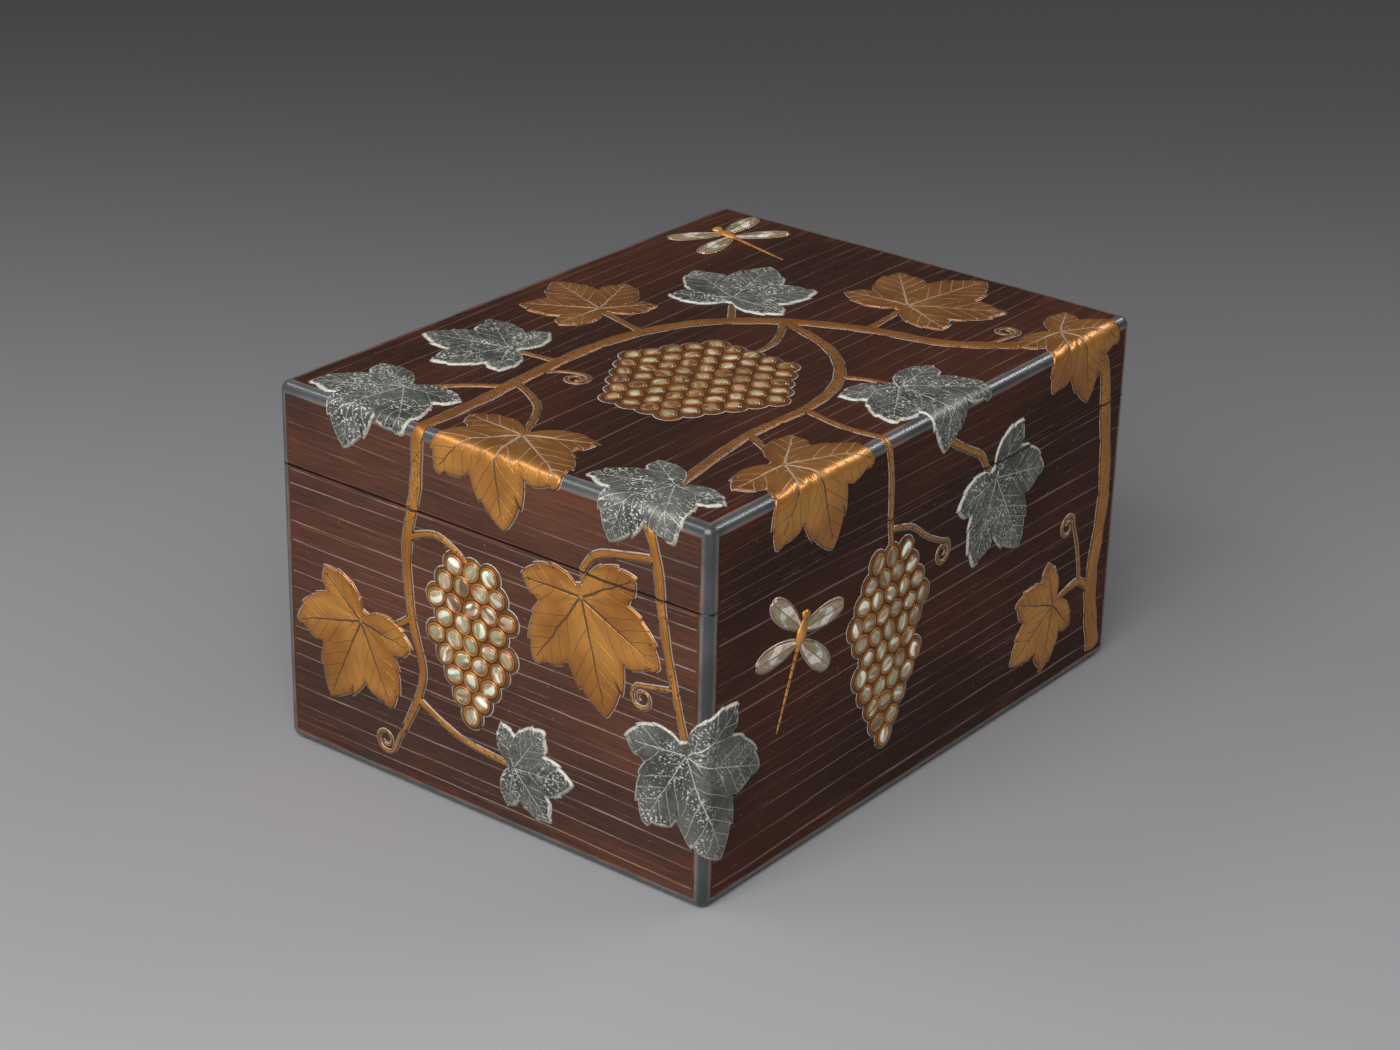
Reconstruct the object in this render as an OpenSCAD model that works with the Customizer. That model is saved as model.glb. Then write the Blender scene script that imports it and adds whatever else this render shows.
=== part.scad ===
// Bunko document box: a lacquered wooden box with a flush lid that lifts off.
// Mitred walls carry the floor and the top in rebates, quarter-round edging covers every
// outer arris, and four rim strips inside the mouth locate the lid.
// A grape vine in gold lacquer relief, pewter sheet and mother-of-pearl lies on the outside.
// Frame: +Z up, origin at the middle of the underside, the front faces -Y.

/* [Box] */
// Width of the box from left to right
box_w = 250; // [235:1:270]
// Depth of the box from front to back
box_d = 330; // [315:1:350]
// Height of the closed box
box_h = 182; // [172:1:195]
// Height of the lid, from the seam to the top
lid_h = 40; // [36:1:46]

/* [Boards] */
// Thickness of the walls of the box and the lid
wall_t = 9; // [7:0.5:12]
// Thickness of the floor board
floor_t = 8; // [6:0.5:11]
// Thickness of the top board of the lid
top_t = 8; // [6:0.5:11]
// Radius of the quarter-round edging on every outer arris
edge_r = 5; // [4:0.25:5.5]
// Chamfer on the outer arrises where lid and box meet
seam_chamfer = 0.4; // [0.2:0.1:0.8]

/* [Rim] */
// Thickness of the rim strips inside the mouth
rim_t = 3; // [2:0.25:4]
// Height of the rim above the seam
rim_rise = 10; // [6:1:16]
// Depth of the rim below the seam
rim_drop = 30; // [15:1:50]
// Clearance between the rim and the inside of the lid
rim_fit = 0.3; // [0.2:0.05:0.6]
// Chamfer along the top of the rim
rim_chamfer = 0.6; // [0.3:0.1:0.9]

/* [Leaves] */
// Length of the largest leaves, from stalk to tip
large_leaf = 55; // [52:0.5:57]
// Length of the middling leaves
middle_leaf = 50; // [47:0.5:52]
// Length of the smaller leaves
small_leaf = 45; // [42:0.5:47]
// Length of the leaf low on the right wall
low_leaf = 40; // [36:0.5:43]
// Length of the leaf low on the front wall
least_leaf = 34; // [30:0.5:36]
// Height of the seam above the stalk of the leaf across it on the front
front_leaf_drop = 12; // [11:0.5:14]
// Height of the seam above the stalk of the leaf across it on the right wall
right_leaf_drop = 7.5; // [7:0.5:9]

/* [Vine] */
// Width of the vine's foot
foot_w = 11; // [9:0.5:12]
// Width of the trunk at the seam
trunk_w = 8; // [7:0.25:8.5]
// Width of the main vine across the top
stem_w = 7; // [6:0.25:7.5]
// Width of the main vine where it goes over the front
shoot_w = 6; // [5:0.25:6.5]
// Width of the branches
branch_w = 4.6; // [4:0.1:5]
// Width of the leaf stalks where they leave the vine
stalk_w = 3; // [2.6:0.1:3.4]
// Width of the leaf stalks at the leaf
stalk_end_w = 2.4; // [2:0.1:2.8]
// Width of the tendrils
tendril_w = 1.8; // [1.5:0.1:2.1]
// Radius of the tendrils' curls
tendril_r = 6.5; // [5.5:0.25:7]

/* [Insects] */
// Length of the dragonflies from head to tail
fly_length = 57; // [52:0.5:60]

/* [Relief] */
// Height of the leaves above the boards
leaf_rise = 0.8; // [0.5:0.1:1.2]
// Height of the vine above the boards
vine_rise = 1.1; // [0.6:0.1:1.6]
// Height of the gold bed under the grapes
bed_rise = 0.5; // [0.3:0.1:0.8]
// Height of a shell grape above its bed
grape_rise = 1.4; // [0.8:0.1:2]
// Width of the gold line round each grape
grape_line = 0.9; // [0.6:0.1:1.2]
// Distance between the grapes of a bunch
grape_pitch = 10.4; // [9.8:0.1:10.8]
// Height of the dragonfly bodies above the boards
fly_rise = 1.1; // [0.8:0.1:1.6]
// Height of the shell wings above the boards
wing_rise = 0.6; // [0.4:0.1:0.8]
// Gap between a vine and the piece that it runs under
vine_gap = 0.3; // [0.2:0.1:0.6]

/* [Hidden] */
$fn = 48;
seam_z = box_h - lid_h;
// A relief piece bends over an arris on the chord of its quarter round.
turn = edge_r * sqrt(2);
glue_gap = 0.05;
lap = 0.2;
spare = 1;

// Canvas of a wall and the top together: x runs along the arris, y is 0 where the top ends,
// positive on the top and negative down the wall.
function wall_y(z) = z - (box_h - edge_r) - turn;
function body_y(share) = wall_y(share * seam_z);
function front_x(share) = share * box_w / 2;
function side_x(share) = share * box_d / 2;
function from_front(share) = share * (box_d - 2 * edge_r);
function from_right(share) = share * (box_w - 2 * edge_r);
seam_y = wall_y(seam_z);

// A vine leaf: five lobes around the stalk, a notch at the stalk and a saw-toothed edge.
lobe_angles = [0, 50, -50, 105, -105];
lobe_lengths = [1, 0.88, 0.88, 0.64, 0.64];
lobe_width = 26;
lobe_depth = 0.32;
lobe_power = 1.2;
notch_length = 0.12;
tooth_angle = 15;
tooth_height = 0.06;
leaf_step = 5;

function turned(angle) = abs((angle + 540) % 360 - 180);
function lobe(angle, i) =
    lobe_lengths[i] * (1 - lobe_depth * pow(turned(angle - lobe_angles[i]) / lobe_width, lobe_power));
function tooth(angle) = 1 - (abs(angle) % tooth_angle) / tooth_angle;
function leaf_reach(angle) =
    max(notch_length, max([for (i = [0:4]) lobe(angle, i)])) * (1 - tooth_height * (1 - tooth(angle)));
// A leaf is [stalk x, stalk y, direction of its tip, length to its tip].
function leaf_points(leaf) = [for (angle = [-180:leaf_step:180 - leaf_step])
    [leaf[0], leaf[1]] + leaf[3] * leaf_reach(angle) * [cos(leaf[2] + angle), sin(leaf[2] + angle)]];

// Leaves on the canvas of the front wall and the top
gold_top_back_leaf = [front_x(0.29), from_front(0.82), 80, large_leaf];
pewter_top_back_leaf = [front_x(-0.27), from_front(0.67), 105, middle_leaf];
gold_top_left_leaf = [front_x(-0.58), from_front(0.5), 160, small_leaf];
pewter_top_left_leaf = [front_x(-0.57), from_front(0.29), 195, small_leaf];
pewter_left_edge_leaf = [front_x(-0.6), from_front(0.08), -100, middle_leaf];
gold_front_edge_leaf = [front_x(0.02), from_front(0.055), -80, large_leaf];
pewter_front_edge_leaf = [front_x(0.69), from_front(0.06), -110, small_leaf];
gold_front_seam_leaf = [front_x(0.45), seam_y - front_leaf_drop, -75, large_leaf];
gold_front_low_leaf = [front_x(-0.6), body_y(0.54), -115, middle_leaf];
pewter_front_low_leaf = [front_x(0.14), body_y(0.235), 5, least_leaf];
// Leaves on the canvas of the right wall and the top
gold_right_edge_leaf = [side_x(-0.565), from_right(0.05), -75, large_leaf];
pewter_right_edge_leaf = [side_x(0.085), from_right(0.11), -100, middle_leaf];
gold_right_back_leaf = [side_x(0.73), from_right(0.035), -80, small_leaf];
pewter_right_seam_leaf = [side_x(0.3), seam_y - right_leaf_drop, -60, middle_leaf];
gold_right_low_leaf = [side_x(0.66), body_y(0.33), -150, low_leaf];
// Leaf round the front right corner: x is its height, y runs from the right wall to the front
pewter_corner_leaf = [0.52 * seam_z, edge_r, 200, large_leaf];

// Vines are [width at the root, width at the tip, points]. One that crosses the seam is drawn past
// it and cut off there.
overrun = 4;
// A tendril leaves a vine by its lead points and curls up round a middle point, from the angle where
// it starts, to the left (1) or to the right (-1).
curl_points = 11;
curl_angle = 48;
curl_end = 0.3;
function curl_point(angle, share) = tendril_r * (1 - (1 - curl_end) * share) * [cos(angle), sin(angle)];
function tendril(lead, middle, start, hand) = [tendril_w, tendril_w / 2, concat(lead,
    [for (i = [0:curl_points]) middle + curl_point(start + hand * curl_angle * i, i / curl_points)])];
lid_front_vines = [
    [stem_w, shoot_w, [[front_x(0.88), from_front(0.775)], [front_x(0.62), from_front(0.73)],
        [front_x(0.32), from_front(0.7)], [front_x(0.03), from_front(0.645)],
        [front_x(-0.22), from_front(0.55)], [front_x(-0.34), from_front(0.41)],
        [front_x(-0.34), from_front(0.24)], [front_x(-0.31), from_front(0.1)],
        [front_x(-0.315), wall_y(seam_z + 0.5 * lid_h)], [front_x(-0.346), seam_y - overrun]]],
    [branch_w, branch_w, [[front_x(0.03), from_front(0.645)], [front_x(0.32), from_front(0.6)],
        [front_x(0.52), from_front(0.52)], [front_x(0.61), from_front(0.41)],
        [front_x(0.61), from_front(0.25)], [front_x(0.69), from_front(0.065)]]],
    [branch_w, branch_w, [[front_x(0.73), wall_y(seam_z + 0.83 * lid_h)],
        [front_x(0.775), wall_y(seam_z + 0.4 * lid_h)], [front_x(0.797), seam_y - overrun]]],
    [stalk_w, stalk_w, [[front_x(0.775), wall_y(seam_z + 0.44 * lid_h)],
        [front_x(0.66), wall_y(seam_z + 0.38 * lid_h)], [front_x(0.52), wall_y(seam_z + 0.27 * lid_h)],
        [front_x(0.457), seam_y + overrun / 2], [front_x(0.453), seam_y - overrun]]],
    [stalk_w, stalk_end_w, [[front_x(0.32), from_front(0.7)], [front_x(0.29), from_front(0.82)]]],
    [stalk_w, stalk_end_w, [[front_x(-0.12), from_front(0.59)], [front_x(-0.27), from_front(0.67)]]],
    [stalk_w, stalk_end_w, [[front_x(-0.3), from_front(0.47)], [front_x(-0.58), from_front(0.5)]]],
    [stalk_w, stalk_end_w, [[front_x(-0.33), from_front(0.18)], [front_x(-0.46), from_front(0.14)],
        [front_x(-0.6), from_front(0.08)]]],
    [stalk_w, stalk_end_w, [[front_x(-0.33), from_front(0.2)], [front_x(-0.12), from_front(0.15)],
        [front_x(0.02), from_front(0.055)]]],
    [stalk_w, stalk_end_w, [[front_x(0.03), from_front(0.645)], [front_x(0.13), from_front(0.57)],
        [front_x(0.15), from_front(0.5)]]],
    [stalk_w, stalk_end_w, [[front_x(-0.34), from_front(0.3)], [front_x(-0.57), from_front(0.29)]]],
    tendril([[front_x(0.74), from_front(0.75)]], [front_x(0.73), from_front(0.83)], -40, 1),
    tendril([[front_x(-0.34), from_front(0.245)], [front_x(-0.28), from_front(0.272)]],
        [front_x(-0.19), from_front(0.265)], 100, -1),
];
lid_right_vines = [
    [trunk_w, trunk_w, [[side_x(0.886), seam_y - overrun], [side_x(0.86), wall_y(seam_z + 0.5 * lid_h)],
        [side_x(0.78), wall_y(seam_z + 0.75 * lid_h)]]],
    [stem_w, stem_w, [[side_x(0.7), from_right(0.03)], [side_x(0.6), from_right(0.045)],
        [side_x(0.5), from_right(0.09)]]],
    [stalk_w, stalk_w, [[side_x(-0.22), from_right(0.18)], [side_x(-0.25), from_right(0.06)],
        [side_x(-0.217), wall_y(seam_z + 0.5 * lid_h)], [side_x(-0.213), seam_y - overrun]]],
    [stalk_w, stalk_end_w, [[side_x(-0.46), from_right(0.18)], [side_x(-0.565), from_right(0.05)]]],
    [stalk_w, stalk_end_w, [[side_x(0.04), from_right(0.225)], [side_x(0.075), from_right(0.17)],
        [side_x(0.085), from_right(0.11)]]],
    [stalk_w, stalk_w, [[side_x(0.036), wall_y(seam_z + 0.65 * lid_h)],
        [side_x(0.135), wall_y(seam_z + 0.4 * lid_h)], [side_x(0.22), wall_y(seam_z + 0.2 * lid_h)],
        [side_x(0.255), seam_y], [side_x(0.275), seam_y - overrun]]],
];
body_front_vines = [
    [shoot_w, stalk_w, [[front_x(-0.335), seam_y + overrun], [front_x(-0.37), body_y(0.84)],
        [front_x(-0.35), body_y(0.62)], [front_x(-0.3), body_y(0.42)], [front_x(-0.4), body_y(0.2)]]],
    [stalk_w, stalk_end_w, [[front_x(-0.36), body_y(0.9)], [front_x(-0.22), body_y(0.94)],
        [front_x(-0.07), body_y(0.88)]]],
    [stalk_w, stalk_end_w, [[front_x(-0.35), body_y(0.62)], [front_x(-0.46), body_y(0.56)],
        [front_x(-0.6), body_y(0.54)]]],
    [stalk_w, stalk_end_w, [[front_x(-0.33), body_y(0.34)], [front_x(-0.12), body_y(0.26)],
        [front_x(0.14), body_y(0.235)]]],
    [branch_w, stalk_w, [[front_x(0.786), seam_y + overrun], [front_x(0.83), body_y(0.82)],
        [front_x(0.92), body_y(0.52)]]],
    [stalk_w, stalk_end_w, [[front_x(0.459), seam_y + overrun],
        [front_x(0.45), seam_y - front_leaf_drop]]],
    tendril([[front_x(0.86), body_y(0.72)], [front_x(0.81), body_y(0.71)]],
        [front_x(0.72), body_y(0.652)], 75, 1),
    tendril([[front_x(-0.385), body_y(0.23)], [front_x(-0.42), body_y(0.17)]],
        [front_x(-0.49), body_y(0.14)], -10, -1),
];
body_right_vines = [
    [foot_w, trunk_w, [[side_x(0.92), body_y(0.05)], [side_x(0.88), body_y(0.32)],
        [side_x(0.915), body_y(0.66)], [side_x(0.879), seam_y + overrun]]],
    [stalk_w, stalk_end_w, [[side_x(-0.216), seam_y + overrun], [side_x(-0.2), body_y(0.88)]]],
    [branch_w, stalk_end_w, [[side_x(0.89), body_y(0.28)], [side_x(0.8), body_y(0.36)],
        [side_x(0.66), body_y(0.33)]]],
    [stalk_w, stalk_end_w, [[side_x(0.235), seam_y + overrun], [side_x(0.255), seam_y],
        [side_x(0.3), seam_y - right_leaf_drop]]],
    tendril([[side_x(-0.21), body_y(0.965)], [side_x(-0.11), body_y(0.935)],
        [side_x(-0.03), body_y(0.87)]], [side_x(0.05), body_y(0.78)], 100, -1),
    tendril([[side_x(0.81), body_y(0.36)], [side_x(0.79), body_y(0.48)]],
        [side_x(0.72), body_y(0.6)], -15, 1),
];

// Points on a smooth curve through the given points, with even steps between each two
curve_steps = 5;
function curve_at(p, q, r, s, t) =
    0.5 * (2 * q + (r - p) * t + (2 * p - 5 * q + 4 * r - s) * t * t + (3 * q - p - 3 * r + s) * t * t * t);
function at(points, i) = points[max(0, min(len(points) - 1, i))];
function curve(points) = concat(
    [for (i = [0:len(points) - 2], k = [0:curve_steps - 1])
        curve_at(at(points, i - 1), points[i], points[i + 1], at(points, i + 2), k / curve_steps)],
    [points[len(points) - 1]]);
function across(path, i) = let (d = at(path, i + 1) - at(path, i - 1)) [-d[1], d[0]] / norm(d);
function side_line(path, root, tip, hand) = [for (i = [0:len(path) - 1])
    path[i] + hand * across(path, i) * (root + (tip - root) * i / (len(path) - 1)) / 2];
function reversed(list) = [for (i = [len(list) - 1:-1:0]) list[i]];
function vine_points(vine) = let (path = curve(vine[2]))
    concat(side_line(path, vine[0], vine[1], 1), reversed(side_line(path, vine[0], vine[1], -1)));

// Bunches are [x of the middle, y of the top row, grapes in each row].
top_bunch = [front_x(0.15), from_front(0.5), [5, 6, 7, 8, 9, 8, 7, 6, 5, 4]];
front_bunch = [front_x(-0.06), body_y(0.86), [3, 4, 5, 4, 5, 4, 3, 2, 1]];
right_bunch = [side_x(-0.2), body_y(0.87), [3, 4, 5, 6, 5, 4, 5, 4, 3, 2, 1]];
function grapes_of(bunch) = [for (i = [0:len(bunch[2]) - 1], k = [0:bunch[2][i] - 1])
    [bunch[0] + (k - (bunch[2][i] - 1) / 2) * grape_pitch, bunch[1] - i * grape_pitch * sqrt(3) / 2]];
grape_r = (grape_pitch - grape_line) / 2;
// The bed's discs just close the gaps between three grapes.
bed_r = grape_pitch / sqrt(3) + spare / 4;
grape_ball_r = (grape_r * grape_r + grape_rise * grape_rise) / (2 * grape_rise);

// Dragonflies are [x, y, direction of the head, length from head to tail].
top_fly = [front_x(-0.66), from_front(0.89), 165, fly_length];
right_fly = [side_x(-0.63), body_y(0.7), 70, fly_length];
wing_angles = [68, 112];
wing_root = [0.24, 0.14];
wing_length = 0.5;
wing_width = 0.075;
wing_start = 0.03;

// Placing on the box

module at_front() { translate([0, -box_d / 2, 0]) children(); }
module at_back() { rotate([0, 0, 180]) translate([0, -box_d / 2, 0]) children(); }
module at_right() { rotate([0, 0, 90]) translate([0, -box_w / 2, 0]) children(); }
module at_left() { rotate([0, 0, -90]) translate([0, -box_w / 2, 0]) children(); }
module front_canvas() { translate([0, edge_r - box_d / 2, box_h]) children(); }
module right_canvas() { translate([box_w / 2 - edge_r, 0, box_h]) rotate([0, 0, 90]) children(); }
module corner_canvas() { translate([box_w / 2 - edge_r, -box_d / 2, 0]) rotate([90, -90, 0]) children(); }

// Finishes

module lacquered_wood() { color("#3c211b") children(); }
module black_lacquer() { color("#33373a") children(); }
module gold_lacquer() { color("#a8702c") children(); }
module pewter() { color("#6b706e") children(); }
module shell() { color("#d9cfae") children(); }

// Boards, each made at the front with its outer face on y = 0

// A board along a wall: its section of [depth, height] points, cut to its outline seen from above
module board(length, section, outline) {
    intersection() {
        translate([-length / 2, 0, 0]) rotate([90, 0, 90]) linear_extrude(length) polygon(section);
        translate([0, 0, -spare]) linear_extrude(box_h + 2 * spare) polygon(outline);
    }
}

// Mitred ends, with a square notch outside for the corner edging
function wall_outline(length) = [
    [edge_r - length / 2, 0], [length / 2 - edge_r, 0], [length / 2 - edge_r, edge_r],
    [length / 2 - wall_t, wall_t], [wall_t - length / 2, wall_t], [edge_r - length / 2, edge_r],
];
function strip_outline(length, near, far) = [
    [near - length / 2, near], [length / 2 - near, near],
    [length / 2 - far, far], [far - length / 2, far],
];
body_wall_section = [
    [0, edge_r], [0, seam_z - seam_chamfer], [seam_chamfer, seam_z], [wall_t, seam_z],
    [wall_t, floor_t], [edge_r, floor_t], [edge_r, edge_r],
];
lid_wall_section = [
    [seam_chamfer, seam_z], [0, seam_z + seam_chamfer], [0, box_h - edge_r], [edge_r, box_h - edge_r],
    [edge_r, box_h - top_t], [wall_t, box_h - top_t], [wall_t, seam_z],
];
rim_top = seam_z + rim_rise;
rim_section = [
    [wall_t, seam_z - rim_drop], [wall_t, seam_z], [wall_t + rim_fit, seam_z],
    [wall_t + rim_fit, rim_top - rim_chamfer], [wall_t + rim_fit + rim_chamfer, rim_top],
    [wall_t + rim_t - rim_chamfer, rim_top], [wall_t + rim_t, rim_top - rim_chamfer],
    [wall_t + rim_t, seam_z - rim_drop],
];

module body_wall(length) { lacquered_wood() board(length, body_wall_section, wall_outline(length)); }
module lid_wall(length) { lacquered_wood() board(length, lid_wall_section, wall_outline(length)); }
module rim(length) {
    black_lacquer() board(length, rim_section, strip_outline(length, wall_t, wall_t + rim_t));
}

module panel(thickness) {
    translate([edge_r - box_w / 2, edge_r - box_d / 2, 0])
        cube([box_w - 2 * edge_r, box_d - 2 * edge_r, thickness]);
}
module floor_board() { lacquered_wood() panel(floor_t); }
module lid_top_board() { lacquered_wood() translate([0, 0, box_h - top_t]) panel(top_t); }

// Edging

// Quarter-round strip along a bottom arris, mitred at the ends and rounded round the corners
module base_edging(length) {
    black_lacquer() intersection() {
        translate([0, edge_r, edge_r]) union() {
            rotate([0, 90, 0]) cylinder(r = edge_r, h = length - 2 * edge_r, center = true);
            for (end = [-1, 1]) translate([end * (length / 2 - edge_r), 0, 0]) sphere(r = edge_r);
        }
        linear_extrude(edge_r) polygon(strip_outline(length, 0, edge_r));
    }
}
module top_edging(length) { translate([0, 0, box_h]) mirror([0, 0, 1]) base_edging(length); }

// Quarter-round strip down a corner, chamfered at the seam; right and back are 1 or -1
module corner_edging(low, chamfer_low, high, chamfer_high, right, back) {
    black_lacquer() translate([right * (box_w / 2 - edge_r), back * (box_d / 2 - edge_r), 0])
        intersection() {
            union() {
                translate([0, 0, low + chamfer_low])
                    cylinder(r = edge_r, h = high - chamfer_high - low - chamfer_low);
                if (chamfer_low > 0) translate([0, 0, low])
                    cylinder(r1 = edge_r - chamfer_low, r2 = edge_r, h = chamfer_low);
                if (chamfer_high > 0) translate([0, 0, high - chamfer_high])
                    cylinder(r1 = edge_r, r2 = edge_r - chamfer_high, h = chamfer_high);
            }
            translate([min(0, right * edge_r), min(0, back * edge_r), low])
                cube([edge_r, edge_r, high - low]);
        }
}
module body_corner(right, back) { corner_edging(edge_r, 0, seam_z, seam_chamfer, right, back); }
module lid_corner(right, back) { corner_edging(seam_z, seam_chamfer, box_h - edge_r, 0, right, back); }

// Relief

// Keeps the stretch of a canvas from low to high
module stretch(low, high) {
    intersection() {
        children();
        translate([-box_d, low]) square([2 * box_d, high - low]);
    }
}

// Lays an outline on a canvas: flat on the top, bent over the quarter round and flat down the wall.
// bottom and top are the outline's lowest and highest y, and low and high are where it is cut.
module laid(rise, bottom, top, low, high) {
    from = max(bottom, low);
    to = min(top, high);
    if (to > 0) linear_extrude(rise) stretch(max(from, 0), to + spare * sign(high - to)) children();
    if (to > -turn && from < 0) bent(rise)
        stretch(max(from, -turn - rise) - spare, min(to, rise) + spare) children();
    if (from < -turn) translate([0, -edge_r, turn - edge_r]) rotate([90, 0, 0]) linear_extrude(rise)
        stretch(from - spare * sign(from - low), min(to + spare * sign(high - to), -turn)) children();
}

module bent(rise) {
    intersection() {
        translate([0, 0, -edge_r]) rotate([0, 90, 0]) difference() {
            cylinder(r = edge_r + rise, h = 2 * box_d, center = true);
            cylinder(r = edge_r + glue_gap, h = 2 * box_d + 2 * spare, center = true);
        }
        translate([-box_d, -edge_r - rise, -edge_r - lap])
            cube([2 * box_d, edge_r + rise + lap, edge_r + rise + lap]);
        rotate([45, 0, 0]) translate([0, 0, -edge_r]) linear_extrude(3 * edge_r) children();
    }
}

function lowest(points) = min([for (p = points) p[1]]);
function highest(points) = max([for (p = points) p[1]]);

module laid_points(rise, points, low = -2 * box_d, high = 2 * box_d) {
    laid(rise, lowest(points), highest(points), low, high) polygon(points);
}
module laid_leaf(leaf, low = -2 * box_d, high = 2 * box_d, rise = leaf_rise) {
    laid_points(rise, leaf_points(leaf), low, high);
}

// Leaves

module gold_leaf_top_back() { gold_lacquer() front_canvas() laid_leaf(gold_top_back_leaf); }
module pewter_leaf_top_back() { pewter() front_canvas() laid_leaf(pewter_top_back_leaf); }
module gold_leaf_top_left() { gold_lacquer() front_canvas() laid_leaf(gold_top_left_leaf); }
module pewter_leaf_top_left() { pewter() front_canvas() laid_leaf(pewter_top_left_leaf); }
module pewter_leaf_left_edge() { pewter() front_canvas() laid_leaf(pewter_left_edge_leaf); }
module gold_leaf_front_edge() { gold_lacquer() front_canvas() laid_leaf(gold_front_edge_leaf); }
module pewter_leaf_front_edge() { pewter() front_canvas() laid_leaf(pewter_front_edge_leaf); }
module gold_leaf_right_edge() { gold_lacquer() right_canvas() laid_leaf(gold_right_edge_leaf); }
module pewter_leaf_right_edge() { pewter() right_canvas() laid_leaf(pewter_right_edge_leaf); }
module gold_leaf_right_back() { gold_lacquer() right_canvas() laid_leaf(gold_right_back_leaf); }
module gold_leaf_front_seam_upper() {
    gold_lacquer() front_canvas() laid_leaf(gold_front_seam_leaf, low = seam_y);
}
module gold_leaf_front_seam_lower() {
    gold_lacquer() front_canvas() laid_leaf(gold_front_seam_leaf, high = seam_y);
}
module pewter_leaf_right_seam_upper() {
    pewter() right_canvas() laid_leaf(pewter_right_seam_leaf, low = seam_y);
}
module pewter_leaf_right_seam_lower() {
    pewter() right_canvas() laid_leaf(pewter_right_seam_leaf, high = seam_y);
}
module gold_leaf_front_low() { gold_lacquer() front_canvas() laid_leaf(gold_front_low_leaf); }
module pewter_leaf_front_low() { pewter() front_canvas() laid_leaf(pewter_front_low_leaf); }
module pewter_leaf_corner() { pewter() corner_canvas() laid_leaf(pewter_corner_leaf); }
module gold_leaf_right_low() { gold_lacquer() right_canvas() laid_leaf(gold_right_low_leaf); }

// Grapes

// Draws flat on the top for a bunch above the arris, and on the wall for one below it
module on_canvas(y) {
    if (y > 0) children();
    else translate([0, -edge_r, turn - edge_r]) rotate([90, 0, 0]) children();
}
module grape_bed(bunch, rise = bed_rise, gap = 0) {
    gold_lacquer() on_canvas(bunch[1]) linear_extrude(rise) for (grape = grapes_of(bunch))
        translate(grape) circle(r = bed_r + gap);
}
module grapes(bunch) {
    shell() on_canvas(bunch[1]) for (grape = grapes_of(bunch)) translate([grape[0], grape[1], bed_rise])
        intersection() {
            translate([0, 0, grape_rise - grape_ball_r]) sphere(r = grape_ball_r);
            cylinder(r = grape_r + spare, h = grape_rise + spare);
        }
}

// Dragonflies

// Half width of the body at a share of its length from the head: eyes, thorax, then a slender tail
function fly_half_width(share) =
    share < 0.08 ? 0.055 * sqrt(1 - pow(share / 0.04 - 1, 2)) :
    share < 0.3 ? 0.02 + 0.04 * sin(180 * (share - 0.08) / 0.22) :
    0.02 - 0.012 * (share - 0.3) / 0.7;
fly_steps = 32;
function fly_side(hand) = [for (i = [0:fly_steps])
    [0.4 - i / fly_steps, hand * fly_half_width(i / fly_steps)]];
fly_outline = concat(fly_side(1), reversed(fly_side(-1)));
function wing_outline() = [for (angle = [0:15:345])
    [wing_start + wing_length * (1 - cos(angle)) / 2, wing_width * sin(angle) * (1.15 - 0.3 * cos(angle))]];

module fly_frame(fly) { on_canvas(fly[1]) translate([fly[0], fly[1], 0]) rotate([0, 0, fly[2]]) children(); }
module dragonfly_body(fly) {
    gold_lacquer() fly_frame(fly) linear_extrude(fly_rise) polygon(fly[3] * fly_outline);
}
module dragonfly_wings(fly) {
    shell() fly_frame(fly) linear_extrude(wing_rise) difference() {
        for (pair = [0, 1], hand = [-1, 1]) translate([fly[3] * wing_root[pair], 0])
            rotate(hand * wing_angles[pair]) polygon(fly[3] * wing_outline());
        polygon(fly[3] * fly_outline);
    }
}

// Vines, cut away where they run under a leaf or a bunch

module vine_runs(vines, low, high) {
    for (vine = vines) laid_points(vine_rise, vine_points(vine), low, high);
}
cut_rise = vine_rise + spare;
module leaf_cut(leaf) { laid_leaf(leaf + [0, 0, 0, vine_gap], rise = cut_rise); }
module bunch_cut(bunch) { grape_bed(bunch, cut_rise, vine_gap); }

module lid_vine() {
    gold_lacquer() difference() {
        union() {
            front_canvas() vine_runs(lid_front_vines, seam_y, box_d);
            right_canvas() vine_runs(lid_right_vines, seam_y, box_d);
        }
        front_canvas() for (leaf = [gold_top_back_leaf, pewter_top_back_leaf, gold_top_left_leaf,
            pewter_top_left_leaf, pewter_left_edge_leaf, gold_front_edge_leaf, pewter_front_edge_leaf,
            gold_front_seam_leaf]) leaf_cut(leaf);
        right_canvas() for (leaf = [gold_right_edge_leaf, pewter_right_edge_leaf, gold_right_back_leaf,
            pewter_right_seam_leaf]) leaf_cut(leaf);
        front_canvas() bunch_cut(top_bunch);
    }
}
module body_vine() {
    gold_lacquer() difference() {
        union() {
            front_canvas() vine_runs(body_front_vines, -box_d, seam_y);
            right_canvas() vine_runs(body_right_vines, -box_d, seam_y);
        }
        front_canvas() for (leaf = [gold_front_low_leaf, pewter_front_low_leaf, gold_front_seam_leaf])
            leaf_cut(leaf);
        right_canvas() for (leaf = [pewter_right_seam_leaf, gold_right_low_leaf]) leaf_cut(leaf);
        corner_canvas() leaf_cut(pewter_corner_leaf);
        front_canvas() bunch_cut(front_bunch);
        right_canvas() bunch_cut(right_bunch);
    }
}

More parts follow.
